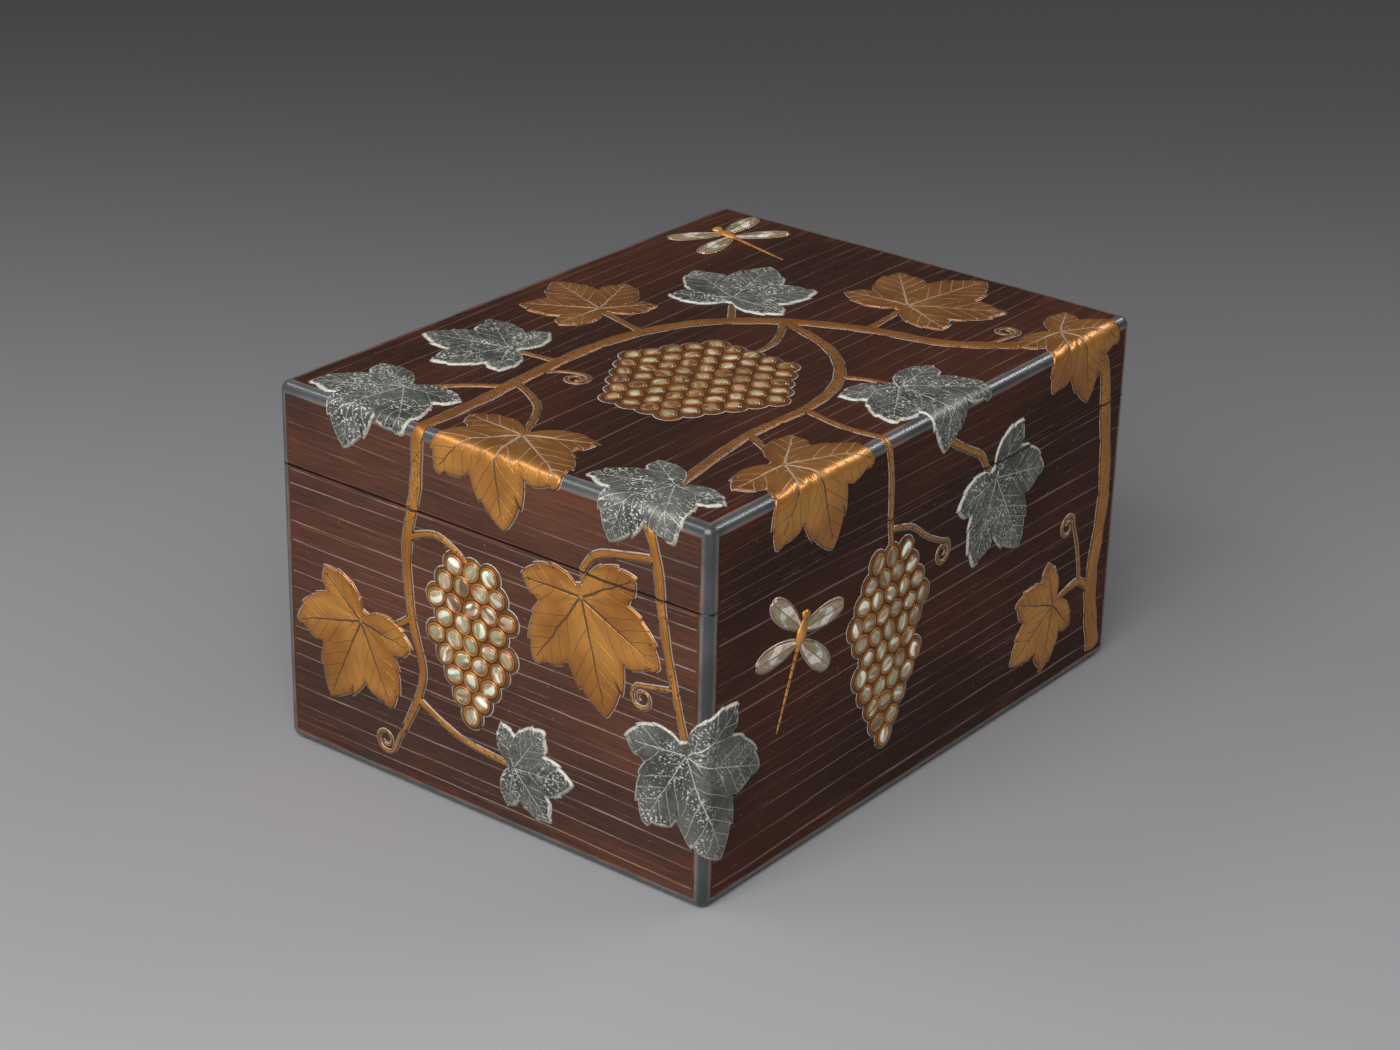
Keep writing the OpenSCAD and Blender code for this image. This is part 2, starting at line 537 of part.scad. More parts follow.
floor_board();
at_front() body_wall(box_w);  // front_wall
at_back() body_wall(box_w);  // back_wall
at_left() body_wall(box_d);  // left_wall
at_right() body_wall(box_d);  // right_wall
at_front() rim(box_w);  // front_rim
at_back() rim(box_w);  // back_rim
at_left() rim(box_d);  // left_rim
at_right() rim(box_d);  // right_rim
body_corner(-1, -1);  // front_left_corner_edging
body_corner(1, -1);  // front_right_corner_edging
body_corner(-1, 1);  // back_left_corner_edging
body_corner(1, 1);  // back_right_corner_edging
at_front() base_edging(box_w);  // front_base_edging
at_back() base_edging(box_w);  // back_base_edging
at_left() base_edging(box_d);  // left_base_edging
at_right() base_edging(box_d);  // right_base_edging
lid_top_board();
at_front() lid_wall(box_w);  // lid_front_wall
at_back() lid_wall(box_w);  // lid_back_wall
at_left() lid_wall(box_d);  // lid_left_wall
at_right() lid_wall(box_d);  // lid_right_wall
at_front() top_edging(box_w);  // lid_front_top_edging
at_back() top_edging(box_w);  // lid_back_top_edging
at_left() top_edging(box_d);  // lid_left_top_edging
at_right() top_edging(box_d);  // lid_right_top_edging
lid_corner(-1, -1);  // lid_front_left_corner_edging
lid_corner(1, -1);  // lid_front_right_corner_edging
lid_corner(-1, 1);  // lid_back_left_corner_edging
lid_corner(1, 1);  // lid_back_right_corner_edging
gold_leaf_top_back();
pewter_leaf_top_back();
gold_leaf_top_left();
pewter_leaf_top_left();
pewter_leaf_left_edge();
gold_leaf_front_edge();
pewter_leaf_front_edge();
gold_leaf_right_edge();
pewter_leaf_right_edge();
gold_leaf_right_back();
gold_leaf_front_seam_upper();
gold_leaf_front_seam_lower();
pewter_leaf_right_seam_upper();
pewter_leaf_right_seam_lower();
gold_leaf_front_low();
pewter_leaf_front_low();
pewter_leaf_corner();
gold_leaf_right_low();
front_canvas() grape_bed(top_bunch);  // top_grape_bed
front_canvas() grapes(top_bunch);  // top_grapes
front_canvas() grape_bed(front_bunch);  // front_grape_bed
front_canvas() grapes(front_bunch);  // front_grapes
right_canvas() grape_bed(right_bunch);  // right_grape_bed
right_canvas() grapes(right_bunch);  // right_grapes
front_canvas() dragonfly_body(top_fly);  // top_dragonfly_body
front_canvas() dragonfly_wings(top_fly);  // top_dragonfly_wings
right_canvas() dragonfly_body(right_fly);  // right_dragonfly_body
right_canvas() dragonfly_wings(right_fly);  // right_dragonfly_wings
lid_vine();
body_vine();
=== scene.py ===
import math

import bmesh
import bpy
from mathutils import Matrix, Vector


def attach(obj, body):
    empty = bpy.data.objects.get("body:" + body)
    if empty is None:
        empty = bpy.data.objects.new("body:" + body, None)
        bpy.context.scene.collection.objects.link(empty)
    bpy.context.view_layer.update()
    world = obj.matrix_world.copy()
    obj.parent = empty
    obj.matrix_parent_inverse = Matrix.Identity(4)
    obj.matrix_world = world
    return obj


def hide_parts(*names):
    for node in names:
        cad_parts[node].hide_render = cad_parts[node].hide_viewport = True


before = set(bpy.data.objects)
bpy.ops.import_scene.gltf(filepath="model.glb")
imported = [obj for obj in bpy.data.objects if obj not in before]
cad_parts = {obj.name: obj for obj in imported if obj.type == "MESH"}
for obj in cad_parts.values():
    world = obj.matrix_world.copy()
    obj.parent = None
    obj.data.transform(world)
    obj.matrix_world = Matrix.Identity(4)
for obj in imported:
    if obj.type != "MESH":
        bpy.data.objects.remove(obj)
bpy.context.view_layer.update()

# Walls, floor and top board.
# Boards of open-grained wood, mitred at the corners. Outside, dark red-brown lacquer leaves the pores
# as long pale lines that run along each board; inside, the lacquer is black and polished.

# Sizes are in millimetres, but Blender's own are in metres.
box_w, box_d, box_h, seam_z, edge_r = 250.0, 330.0, 182.0, 142.0, 5.0


class Wire:
    """A node's output, with sums written as Python expressions."""

    def __init__(self, tree, socket):
        self.tree = tree
        self.socket = socket

    def node(self, kind, settings, links, out=0):
        """A new node in the same tree, as a wire from one of its outputs."""
        made = self.tree.nodes.new(kind)
        for key, value in settings.items():
            if key == "stops":
                ramp = made.color_ramp.elements
                while len(ramp) < len(value):
                    ramp.new(0.5)
                for stop, (place, colour) in zip(ramp, value):
                    stop.position, stop.color = place, colour
            else:
                setattr(made, key, value)
        for key, value in links.items():
            if isinstance(value, Wire):
                self.tree.links.new(value.socket, made.inputs[key])
            else:
                made.inputs[key].default_value = value
        return Wire(self.tree, made.outputs[out])

    def math(self, operation, *values):
        return self.node("ShaderNodeMath", {"operation": operation}, dict(enumerate(values)))

    def __add__(self, other):
        return self.math("ADD", self, other)

    def __sub__(self, other):
        return self.math("SUBTRACT", self, other)

    def __rsub__(self, other):
        return self.math("SUBTRACT", other, self)

    def __mul__(self, other):
        return self.math("MULTIPLY", self, other)

    def __truediv__(self, other):
        return self.math("DIVIDE", self, other)

    def __abs__(self):
        return self.math("ABSOLUTE", self)

    __radd__ = __add__
    __rmul__ = __mul__

    def to(self, shader, socket):
        self.tree.links.new(self.socket, shader.inputs[socket])


def finish(name, **constants):
    """A new material, its shader, and the place on the piece in millimetres."""
    material = bpy.data.materials.new(name)
    material.use_nodes = True
    tree = material.node_tree
    shader = tree.nodes["Principled BSDF"]
    for socket, value in constants.items():
        shader.inputs[socket.replace("_", " ")].default_value = value
    metres = Wire(tree, tree.nodes.new("ShaderNodeTexCoord").outputs["Object"])
    mm = metres.node("ShaderNodeVectorMath", {"operation": "SCALE"}, {0: metres, "Scale": 1000.0})
    return material, shader, mm


def part(vector, axis):
    return vector.node("ShaderNodeSeparateXYZ", {}, {0: vector}, axis)


def rising(value, low, high):
    """0 up to low, 1 from high, smooth between."""
    return value.node("ShaderNodeMapRange", {"interpolation_type": "SMOOTHSTEP"},
                      {0: value, 1: low, 2: high})


def cloud(vector, per_mm, detail=2.0):
    """Soft noise about 0.5, with one fineness or with its own along each axis."""
    fineness = per_mm if isinstance(per_mm, tuple) else (per_mm,) * 3
    scaled = vector.node("ShaderNodeVectorMath", {"operation": "MULTIPLY"}, {0: vector, 1: fineness})
    return vector.node("ShaderNodeTexNoise", {}, {"Vector": scaled, "Scale": 1.0, "Detail": detail})


def over(mask, under, top):
    """One colour laid over another where the mask is 1."""
    return mask.node("ShaderNodeMix", {"data_type": "RGBA"}, {0: mask, 6: under, 7: top}, 2)


def least(first, *others):
    for other in others:
        first = first.math("MINIMUM", first, other)
    return first


def most(first, *others):
    for other in others:
        first = first.math("MAXIMUM", first, other)
    return first


def relief(shader, height, depth, strength):
    """Feeds a height, in units of a depth in millimetres, to the shader's normal."""
    bump = height.node("ShaderNodeBump", {},
                       {"Strength": strength, "Distance": depth / 1000, "Height": height})
    bump.to(shader, "Normal")


# Near black, painted into the colours as the shade of the seam.
seam_shade_black = (0.006, 0.005, 0.005, 1)


def seam_shade_mask(mm):
    """Mask of the line at the seam between the lid and the box, where the shade of the crease is painted in
    near black.
    """
    return 1.0 - rising(abs(part(mm, 2) - seam_z), 0.4, 0.8)


def panel_wood(name, along, across, seed, edges, pale, shade):
    """Lacquered boards with their grain along one axis, worn towards the named edges. The pale lines have
    their own strength, and the ground's colour is scaled by a share per channel that paints light and
    shade."""
    material, shader, mm = finish(name, Coat_Weight=0.02, Coat_Roughness=0.3, Specular_IOR_Level=0.08)
    axes = [part(mm, i) for i in range(3)]
    run, rise = axes[along], axes[across]
    board = mm.node("ShaderNodeCombineXYZ", {}, {0: run, 1: rise, 2: seed})
    sway = (cloud(board, (0.004, 0.02, 1.0)) - 0.5) * 8.0
    waver = (cloud(board, (0.03, 0.15, 1.0)) - 0.5) * 1.2
    crowd = (cloud(board, (0.0, 0.016, 1.0)) - 0.5) * 34.0
    bent = rise + sway + waver + crowd

    def pores(spacing, width, shift):
        """Lines along the grain, of a width and at about a spacing in millimetres."""
        near = bent.node("ShaderNodeTexVoronoi",
                         {"voronoi_dimensions": "1D", "feature": "DISTANCE_TO_EDGE"},
                         {"W": (bent + shift) / spacing, "Scale": 1.0, "Randomness": 0.9}) * spacing
        return 1.0 - rising(near, width * 0.3, width)

    broken = rising(cloud(board, (0.02, 0.35, 1.0), 3.0), 0.39, 0.62)
    grit = rising(cloud(board, (0.6, 3.2, 1.0), 2.0), 0.32, 0.58)
    line = pores(9.5, 0.46, seed * 41.0) * (0.22 + 0.78 * broken) * (0.5 + 0.5 * grit)
    rare = rising(cloud(board, (0.025, 0.3, 4.0), 3.0), 0.52, 0.64)
    faint = pores(6.0, 0.3, seed * 67.0) * rare * grit
    dark_fibre = rising(cloud(board, (0.05, 2.4, 1.0), 3.0), 0.44, 0.7)
    pale_fibre = rising(cloud(board, (0.08, 2.8, 3.0), 3.0), 0.6, 0.76)
    red = rising(cloud(board, (0.006, 0.018, 1.0), 3.0), 0.36, 0.68)
    speck_gap = 26.0
    from_speck = mm.node("ShaderNodeTexVoronoi", {"voronoi_dimensions": "2D"},
                         {"Vector": board, "Scale": 1 / speck_gap}) * speck_gap
    specks = (1.0 - rising(from_speck, 0.2, 0.45)) * rising(cloud(board, (0.02, 0.02, 1.0)), 0.45, 0.55)

    x, y, z = abs(axes[0]), abs(axes[1]), axes[2]
    limits = {"x": box_w / 2 - edge_r - x, "y": box_d / 2 - edge_r - y,
              "low": z - edge_r, "high": box_h - edge_r - z}
    border = least(*[limits[edge] for edge in edges])
    handled = least(border, abs(z - seam_z) - 0.5)
    rub = (1.0 - rising(handled, 0.25, 0.9)) * rising(cloud(mm, 0.04, 5.0), 0.42, 0.62)
    chafe = (1.0 - rising(border, 1.0, 18.0)) * rising(cloud(board, (0.02, 0.45, 2.0), 4.0), 0.5, 0.66)
    inset = rising(border, 0.8, 2.6)

    # The ground's brown and rust, scaled per channel by the board group's painted light and shade.
    brown, rust = ([tint * share for tint, share in zip(tints, shade)] + [1]
                   for tints in ((0.055, 0.0235, 0.0158), (0.107, 0.036, 0.0202)))
    colour = over(red, brown, rust)
    colour = over(dark_fibre * 0.5, colour, (0.017, 0.0095, 0.008, 1))
    colour = over(pale_fibre * 0.22, colour, (0.2, 0.115, 0.085, 1))
    colour = over(chafe * 0.4, colour, (0.135, 0.038, 0.019, 1))
    colour = over(faint * inset * 0.5 * pale, colour, (0.24, 0.155, 0.125, 1))
    colour = over(line * inset * 0.85 * pale, colour, (0.32, 0.23, 0.195, 1))
    colour = over(specks * 0.6, colour, (0.42, 0.24, 0.12, 1))
    colour = over(rub * 0.7, colour, (0.24, 0.062, 0.024, 1))
    # Painted shade: the seam between lid and box is coloured near black.
    colour = over(seam_shade_mask(mm), colour, seam_shade_black)
    outside = rising(most(x - box_w / 2, y - box_d / 2, z - box_h), -1.4, -1.0)
    over(outside, (0.014, 0.012, 0.011, 1), colour).to(shader, "Base Color")
    (0.16 + outside * (0.24 + dark_fibre * 0.12 + line * 0.2)).to(shader, "Roughness")
    hollows = dark_fibre * 0.3 + line * 0.6 + faint * 0.3 + seam_shade_mask(mm) * 6.0
    relief(shader, outside * hollows * -1.0, 0.12, 0.6)
    return material


def paint(material, *nodes):
    """Gives nodes that keep their own shape a material."""
    for node in nodes:
        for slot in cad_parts[node].material_slots:
            slot.material = material


# The pores of the lid are better filled than those of the walls below. Each group of boards scales its
# ground by its own share: painted light on the front, painted shade on the sides and the top.
front_painted_light, side_painted_shade, top_painted_shade = (0.98, 1.17, 1.27), (0.57, 0.54, 0.53), (0.5, 0.5, 0.48)
for lid, pale in (("", 1.0), ("lid_", 0.5)):
    wood = panel_wood(lid + "front lacquered wood", 0, 2, 1.3, ("x", "low", "high"), pale, front_painted_light)
    paint(wood, lid + "front_wall", lid + "back_wall")
    wood = panel_wood(lid + "side lacquered wood", 1, 2, 5.1, ("y", "low", "high"), pale * 0.72, side_painted_shade)
    paint(wood, lid + "right_wall", lid + "left_wall")
wood = panel_wood("top lacquered wood", 1, 0, 9.7, ("x", "y"), 0.38, top_painted_shade)
paint(wood, "lid_top_board", "floor_board")

# Rim strips.
# Four thin strips glued round the inside of the mouth stand above the seam, so that the lid seats on
# the walls and can't shift. Their black lacquer is worn thin along the top by the lid.

material, shader, mm = finish("black rim lacquer", Coat_Weight=0.3, Coat_Roughness=0.12)
rim_top = seam_z + 10.0
patches = rising(cloud(mm, (0.05, 0.05, 0.4), 4.0), 0.42, 0.6)
top_wear = rising(part(mm, 2), rim_top - 1.1, rim_top) * patches
over(top_wear * 0.6, (0.007, 0.006, 0.006, 1), (0.07, 0.028, 0.018, 1)).to(shader, "Base Color")
(0.18 + top_wear * 0.2 + cloud(mm, (0.1, 0.1, 0.3), 3.0) * 0.08).to(shader, "Roughness")
relief(shader, cloud(mm, (0.08, 0.08, 0.3), 3.0), 0.1, 0.3)
paint(material, "front_rim", "back_rim", "left_rim", "right_rim")

# Edging.
# Quarter-round strips in polished dark grey lacquer cover every outer arris: the four corners of box
# and lid, the bottom and the top. Handling has left fine scratches along them.

material, shader, mm = finish("dark grey edging lacquer", Coat_Weight=0.7, Coat_Roughness=0.24,
                              Specular_IOR_Level=0.25)
smoke = cloud(mm, 0.03, 4.0)
hair = most(*[rising(cloud(mm, fineness, 1.0), 0.68, 0.76) for fineness in
              ((2.2, 0.05, 2.2), (0.05, 2.2, 2.2), (2.2, 2.2, 0.05))])
# A point of a strip is past two of the boards' edges, so the middle distance of the three is the one to
# the board that it meets, and along that joint the grey has worn paler.
past = [abs(part(mm, axis) - centre) - (size / 2 - edge_r)
        for axis, (centre, size) in enumerate(((0.0, box_w), (0.0, box_d), (box_h / 2, box_h)))]
from_board = most(least(*past[:2]), least(most(*past[:2]), past[2]))
patches = rising(cloud(mm, 0.06, 5.0), 0.36, 0.6)
joint = (1.0 - rising(from_board, 0.5, 2.3)) * (0.45 + 0.55 * patches)
grey = over(rising(smoke, 0.35, 0.7), (0.03, 0.033, 0.035, 1), (0.052, 0.056, 0.058, 1))
grey = over(joint * 0.75, grey, (0.15, 0.135, 0.12, 1))
grey = over(hair * 0.25, grey, (0.2, 0.2, 0.19, 1))
# Painted shade: the seam between lid and box is coloured near black.
over(seam_shade_mask(mm) * 0.9, grey, seam_shade_black).to(shader, "Base Color")
(0.28 + smoke * 0.12 + hair * 0.15 + joint * 0.2).to(shader, "Roughness")
relief(shader, cloud(mm, 0.05, 2.0) + hair * 0.1, 0.05, 0.1)
for end in ("front", "back"):
    for side in ("left", "right"):
        strip = end + "_" + side + "_corner_edging"
        paint(material, strip, "lid_" + strip)
for side in ("front", "back", "left", "right"):
    paint(material, side + "_base_edging", "lid_" + side + "_top_edging")

# Leaves in gold lacquer.
# Raised lacquer, built up with a brush, strewn with gold powder and polished, with the veins cut in, dark
# on the walls and rubbed pale on the top. Most lie flat; some bend over an arris or are cut at the seam.

turn = edge_r * math.sqrt(2)


def placed(canvas, along, out, height):
    """The point of the box at a place on a canvas, in metres. A canvas runs from one face over the
    rounded arris to the next: out is 0 where the first face ends, and negative beyond."""
    if out >= 0:
        inward, up = out, height
    elif out > -turn:
        angle = math.pi / 4 + math.asin(max(-1, min(1, -out / edge_r - math.sqrt(0.5))))
        inward = -(edge_r + height) * math.sin(angle)
        up = (edge_r + height) * math.cos(angle) - edge_r
    else:
        inward, up = -edge_r - height, out + turn - edge_r
    if canvas == "front":
        point = (along, inward + edge_r - box_d / 2, box_h + up)
    elif canvas == "right":
        point = (box_w / 2 - edge_r - inward, along, box_h + up)
    else:
        point = (box_w / 2 - edge_r - inward, -box_d / 2 - up, along)
    return Vector(point) / 1000


def wall_out(z):
    """How far out on a canvas a height on the wall is."""
    return z - (box_h - edge_r) - turn


def on_top(x, inward):
    """On the top, for the front canvas: shares of the half width and of the way to the back."""
    return x * box_w / 2, inward * (box_d - 2 * edge_r)


def on_front(x, up):
    """On the front wall: shares of the half width and of the height up to the seam."""
    return x * box_w / 2, wall_out(up * seam_z)


def front_seam(x, up):
    """On the front wall: a share of the half width, and millimetres above the seam."""
    return x * box_w / 2, wall_out(seam_z) + up


def by_right(y, inward):
    """On the top, for the right canvas: shares of the half depth and of the way to the left."""
    return y * box_d / 2, inward * (box_w - 2 * edge_r)


def on_right(y, up):
    """On the right wall: shares of the half depth and of the height up to the seam."""
    return y * box_d / 2, wall_out(up * seam_z)


def right_seam(y, up):
    """On the right wall: a share of the half depth, and millimetres above the seam."""
    return y * box_d / 2, wall_out(seam_z) + up


def half_turn(degrees):
    """The same direction between -180 and 180."""
    return (degrees + 540) % 360 - 180


def polar(far, degrees):
    """A distance in a direction, split between the two axes."""
    return far * math.cos(math.radians(degrees)), far * math.sin(math.radians(degrees))


# The directions of a leaf's lobes and their lengths, as shares of the longest.
lobes = ((0, 1.0), (50, 0.88), (-50, 0.88), (105, 0.64), (-105, 0.64))
lobe_half, lobe_fall, tooth, tooth_depth, least_reach = 26, 0.32, 15, 0.06, 0.12


def leaf_reach(angle):
    """How far the leaf's edge is from its stalk in a direction, as a share of its length."""
    reach = max(length * (1 - lobe_fall * (abs(half_turn(angle - middle)) / lobe_half) ** 1.2)
                for middle, length in lobes)
    return max(least_reach, reach) * (1 - tooth_depth * (abs(angle) % tooth) / tooth)


def into_mesh(bm, name):
    mesh = bpy.data.meshes.new(name)
    bm.to_mesh(mesh)
    bm.free()
    return mesh


def into_scene(data, name):
    made = bpy.data.objects.new(name, data)
    bpy.context.collection.objects.link(made)
    return made


def piece(name, bm, material, body, nodes):
    """Makes an object of a mesh that shows in place of CAD nodes and moves with their body."""
    bmesh.ops.recalc_face_normals(bm, faces=bm.faces)
    mesh = into_mesh(bm, name)
    mesh.polygons.foreach_set("use_smooth", [True] * len(mesh.polygons))
    mesh.materials.append(material)
    made = into_scene(mesh, name)
    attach(made, body)
    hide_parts(*nodes)


def close_holes(bm):
    """Closes a mesh wherever it is open."""
    bmesh.ops.holes_fill(bm, edges=[edge for edge in bm.edges if edge.is_boundary], sides=0)


def note_places(layer, faces, places):
    """Keeps, for the materials, where each corner lay before it was bent round the box."""
    for face in faces:
        for loop in face.loops:
            loop[layer].uv = places[loop.vert]


def cut_at_seam(bm, keep_upper):
    """Keeps the lid's or the box's half of a mesh that crosses the seam."""
    every = bm.verts[:] + bm.edges[:] + bm.faces[:]
    bmesh.ops.bisect_plane(bm, geom=every, dist=1e-7, plane_co=(0, 0, seam_z / 1000), plane_no=(0, 0, 1),
                           clear_inner=keep_upper, clear_outer=not keep_upper)
    close_holes(bm)


def lathe(profile, steps, axis=(0, 0, 1)):
    """A profile of (x, z) points turned about the axis, as a mesh that the pieces start from."""
    bm = bmesh.new()
    line = [bm.verts.new((x, 0, z)) for x, z in profile]
    threads = [bm.edges.new(pair) for pair in zip(line, line[1:])]
    bmesh.ops.spin(bm, geom=line + threads, cent=(0, 0, 0), axis=axis, angle=math.tau, steps=steps,
                   use_merge=True)
    bmesh.ops.remove_doubles(bm, verts=bm.verts, dist=1e-5)
    return into_mesh(bm, "turned")


leaf_rings, leaf_spokes = 28, 240
halo, halo_up, sunk = 0.8, 0.02, -0.05
leaf_disc = lathe([(1 - (1 - i / leaf_rings) ** 1.6, 0) for i in range(leaf_rings + 1)] + [(1, 1)]
                  + [(share, -1) for share in (1, 0.75, 0.5, 0.25, 0)], leaf_spokes)
leaf_foot, leaf_up, leaf_swell, leaf_shoulder = 0.03, 0.8, 0.45, 1.3


def leaf(node, body, canvas, place, material, keep_upper=None):
    """A leaf at its stalk's place, with its tip's direction and its length. Round its foot lies a thin
    line of bared ground, where its edge attribute is below 0."""
    along, out, tip, length = place
    bm = bmesh.new()
    bm.from_mesh(leaf_disc)
    edge = bm.verts.layers.float.new("edge")
    flat = {}
    for vert in bm.verts:
        share, level = math.hypot(vert.co.x, vert.co.y), round(vert.co.z)
        angle = math.degrees(math.atan2(vert.co.y, vert.co.x))
        reach = leaf_reach(angle)
        margin = max(0, 1 - share) * reach * length
        far = share * (reach * length + (halo if level else 0))
        nearest = min(abs(half_turn(angle - lobe[0])) for lobe in lobes) / lobe_half
        swell = math.sin(math.pi * min(1, nearest)) * math.sin(math.pi * min(1, share))
        shoulder = math.sqrt(1 - (1 - min(1, margin / leaf_shoulder)) ** 2)
        height = (leaf_foot + shoulder * (leaf_up + leaf_swell * swell), halo_up, sunk)[level]
        vert[edge] = -1.0 if level else margin
        flat[vert] = polar(far / length, angle)
        beside, beyond = polar(far, angle + tip)
        vert.co = placed(canvas, along + beside, out + beyond, height)
    note_places(bm.loops.layers.uv.new("leaf"), bm.faces, flat)
    if keep_upper is not None:
        cut_at_seam(bm, keep_upper)
    piece(node + "_relief", bm, material, body, [node])


def carried(mm, name):
    """A value that each point of a piece's mesh carries."""
    return mm.node("ShaderNodeAttribute", {"attribute_name": name}, {}, "Fac")


def flat_place(mm, name):
    """The place on a piece before it was bent round the box."""
    return mm.node("ShaderNodeUVMap", {"uv_map": name}, {})


def leaf_veins(mm, thickness):
    """Masks of the five main veins and of the side veins, from the leaf's own flat coordinates."""
    flat = flat_place(mm, "leaf")
    stray = cloud(mm, 0.12, 2.0) - 0.5
    u, v = part(flat, 0) + stray * 0.035, abs(part(flat, 1) + stray * 0.035)
    mains, twigs = [], []
    twig_pitch = 0.15
    for angle, length in lobes[::2]:
        cosine, sine = polar(1, abs(angle))
        run, off = u * cosine + v * sine, abs(v * cosine - u * sine)
        width = thickness * (1.0 - 0.75 / length * run)
        within = rising(run, 0.0, 0.03) * (1.0 - rising(run, length * 0.88, length * 0.95))
        mains.append((1.0 - rising(off, width * 0.45, width)) * within)
        phase = (run - off * 1.15) / twig_pitch + 0.35
        gap = 0.5 - abs(phase.math("FRACT", phase) - 0.5)
        sector = 1.0 - rising(off - run * 0.47, -0.04, 0.0)
        twigs.append((1.0 - rising(gap, 0.02, 0.06)) * sector * within)
    return most(*mains), most(*twigs)


def up_on_top(mm):
    """1 on the top, 0 on the walls."""
    return rising(part(mm, 2), box_h - 3.0, box_h - 0.5)


def painted_top_shade(colour, mm):
    """Darkens and reddens the gold of the top: painted shade for the dimmer light that the top's gold
    catches.
    """
    return over(up_on_top(mm) * 0.45, colour, (0.26, 0.085, 0.024, 1))


def on_relief(margin):
    """1 on a relief, 0 on the line of bared ground round it."""
    return rising(margin, -0.3, -0.05)


def bared(colour, margin, mm):
    """Lays the line of bared ground round a relief over its colour, and paints the shade of the seam near
    black.
    """
    ground = over(rising(cloud(mm, 0.2, 3.0), 0.3, 0.5), (0.07, 0.04, 0.03, 1), (0.36, 0.31, 0.275, 1))
    colour = over(on_relief(margin), ground, colour)
    return over(seam_shade_mask(mm) * 0.9, colour, (0.01, 0.007, 0.006, 1))


gold_gloss = {"Coat_Weight": 0.2, "Coat_Roughness": 0.2}
gold, shader, mm = finish("gold leaf lacquer", **gold_gloss)
main_vein, side_vein = leaf_veins(mm, 0.017)
margin = carried(mm, "edge")
mist = cloud(mm, 0.03, 4.0)
powder = cloud(mm, 2.4, 2.0)
scuff = rising(cloud(mm, 0.3, 5.0), 0.62, 0.74)
vein = most(main_vein, side_vein * 0.75)
colour = over(rising(mist, 0.34, 0.66), (0.42, 0.16, 0.026, 1), (0.68, 0.305, 0.06, 1))
# The gold darkens towards the leaf's margins.
toward_margin = 1.0 - rising(margin + (mist - 0.5) * 9.0, 0.0, 6.5)
colour = over(toward_margin * 0.55, colour, (0.3, 0.1, 0.02, 1))
colour = over(rising(powder, 0.45, 0.75) * 0.22, colour, (0.8, 0.43, 0.13, 1))
# The top's gold takes painted shade here; the scuffs are wear.
colour = over(scuff * 0.35, painted_top_shade(colour, mm), (0.2, 0.066, 0.016, 1))
colour = over((1.0 - rising(margin, 0.05, 0.5)) * 0.7, colour, (0.1, 0.04, 0.014, 1))
cut = over(up_on_top(mm) * 0.85, (0.03, 0.016, 0.01, 1), (0.36, 0.29, 0.225, 1))
colour = over(vein * 0.9, colour, cut)
bared(colour, margin, mm).to(shader, "Base Color")
(on_relief(margin) * (0.72 - vein * 0.6 - scuff * 0.2)).to(shader, "Metallic")
(0.32 + mist * 0.08 + scuff * 0.14 + vein * 0.2).to(shader, "Roughness")
relief(shader, mist * 0.15 + powder * 0.03 - main_vein * 1.0 - side_vein * 0.5, 0.35, 0.8)

front_leaf_drop, right_leaf_drop = 12, 7.5
large, middle, small, low, tiny = 55, 50, 45, 40, 34
gold_leaves = {
    "gold_leaf_top_back": ("lid", "front", (*on_top(0.29, 0.82), 80, large)),
    "gold_leaf_top_left": ("lid", "front", (*on_top(-0.58, 0.5), 160, small)),
    "gold_leaf_front_edge": ("lid", "front", (*on_top(0.02, 0.055), -80, large)),
    "gold_leaf_right_edge": ("lid", "right", (*by_right(-0.565, 0.05), -75, large)),
    "gold_leaf_right_back": ("lid", "right", (*by_right(0.73, 0.035), -80, small)),
    "gold_leaf_front_low": ("box", "front", (*on_front(-0.6, 0.54), -115, middle)),
    "gold_leaf_right_low": ("box", "right", (*on_right(0.66, 0.33), -150, low)),
}
for node, (body, canvas, place) in gold_leaves.items():
    leaf(node, body, canvas, place, gold)
gold_seam_leaf = (*front_seam(0.45, -front_leaf_drop), -75, large)
leaf("gold_leaf_front_seam_upper", "lid", "front", gold_seam_leaf, gold, True)
leaf("gold_leaf_front_seam_lower", "box", "front", gold_seam_leaf, gold, False)

# Leaves in pewter.
# Thin pewter sheet, glued on and chased. The grey face is pitted and scratched, and rubbing has bared
# bright metal along the edges and the raised veins.

pewter, shader, mm = finish("worn pewter", Specular_IOR_Level=0.5)
main_vein, side_vein = leaf_veins(mm, 0.0095)
margin = carried(mm, "edge")
mist = cloud(mm, 0.045, 4.0)
pits = cloud(mm, 0.9, 4.0)
clump = rising(cloud(mm, 0.06, 3.0), 0.4, 0.6)
flecks = rising(cloud(mm, (0.7, 1.0, 0.85), 4.0), 0.545, 0.625) * (0.1 + 0.9 * clump)
bloom = rising(cloud(mm, 0.04, 3.0), 0.52, 0.66) * (0.3 + 0.7 * rising(pits, 0.38, 0.6))
scratch = rising(cloud(mm, (0.3, 2.6, 0.5), 1.0), 0.68, 0.74)
frayed = 1.0 - rising(margin + (cloud(mm, 0.3, 4.0) - 0.5) * 3.4, 0.45, 1.7)
rim = most(frayed, (1.0 - rising(margin, 0.4, 1.1)) * 0.85) * (0.6 + 0.4 * rising(pits, 0.4, 0.56))
vein = most(main_vein, side_vein * 0.6) * (0.6 + 0.4 * rising(pits, 0.38, 0.52))
colour = over(rising(mist, 0.36, 0.64), (0.075, 0.076, 0.07, 1), (0.16, 0.161, 0.146, 1))
pitted = rising(pits, 0.5, 0.66)
colour = over(pitted * 0.55, colour, (0.024, 0.024, 0.022, 1))
colour = over(bloom * 0.45, colour, (0.29, 0.305, 0.26, 1))
colour = over(flecks * 0.85, colour, (0.64, 0.64, 0.56, 1))
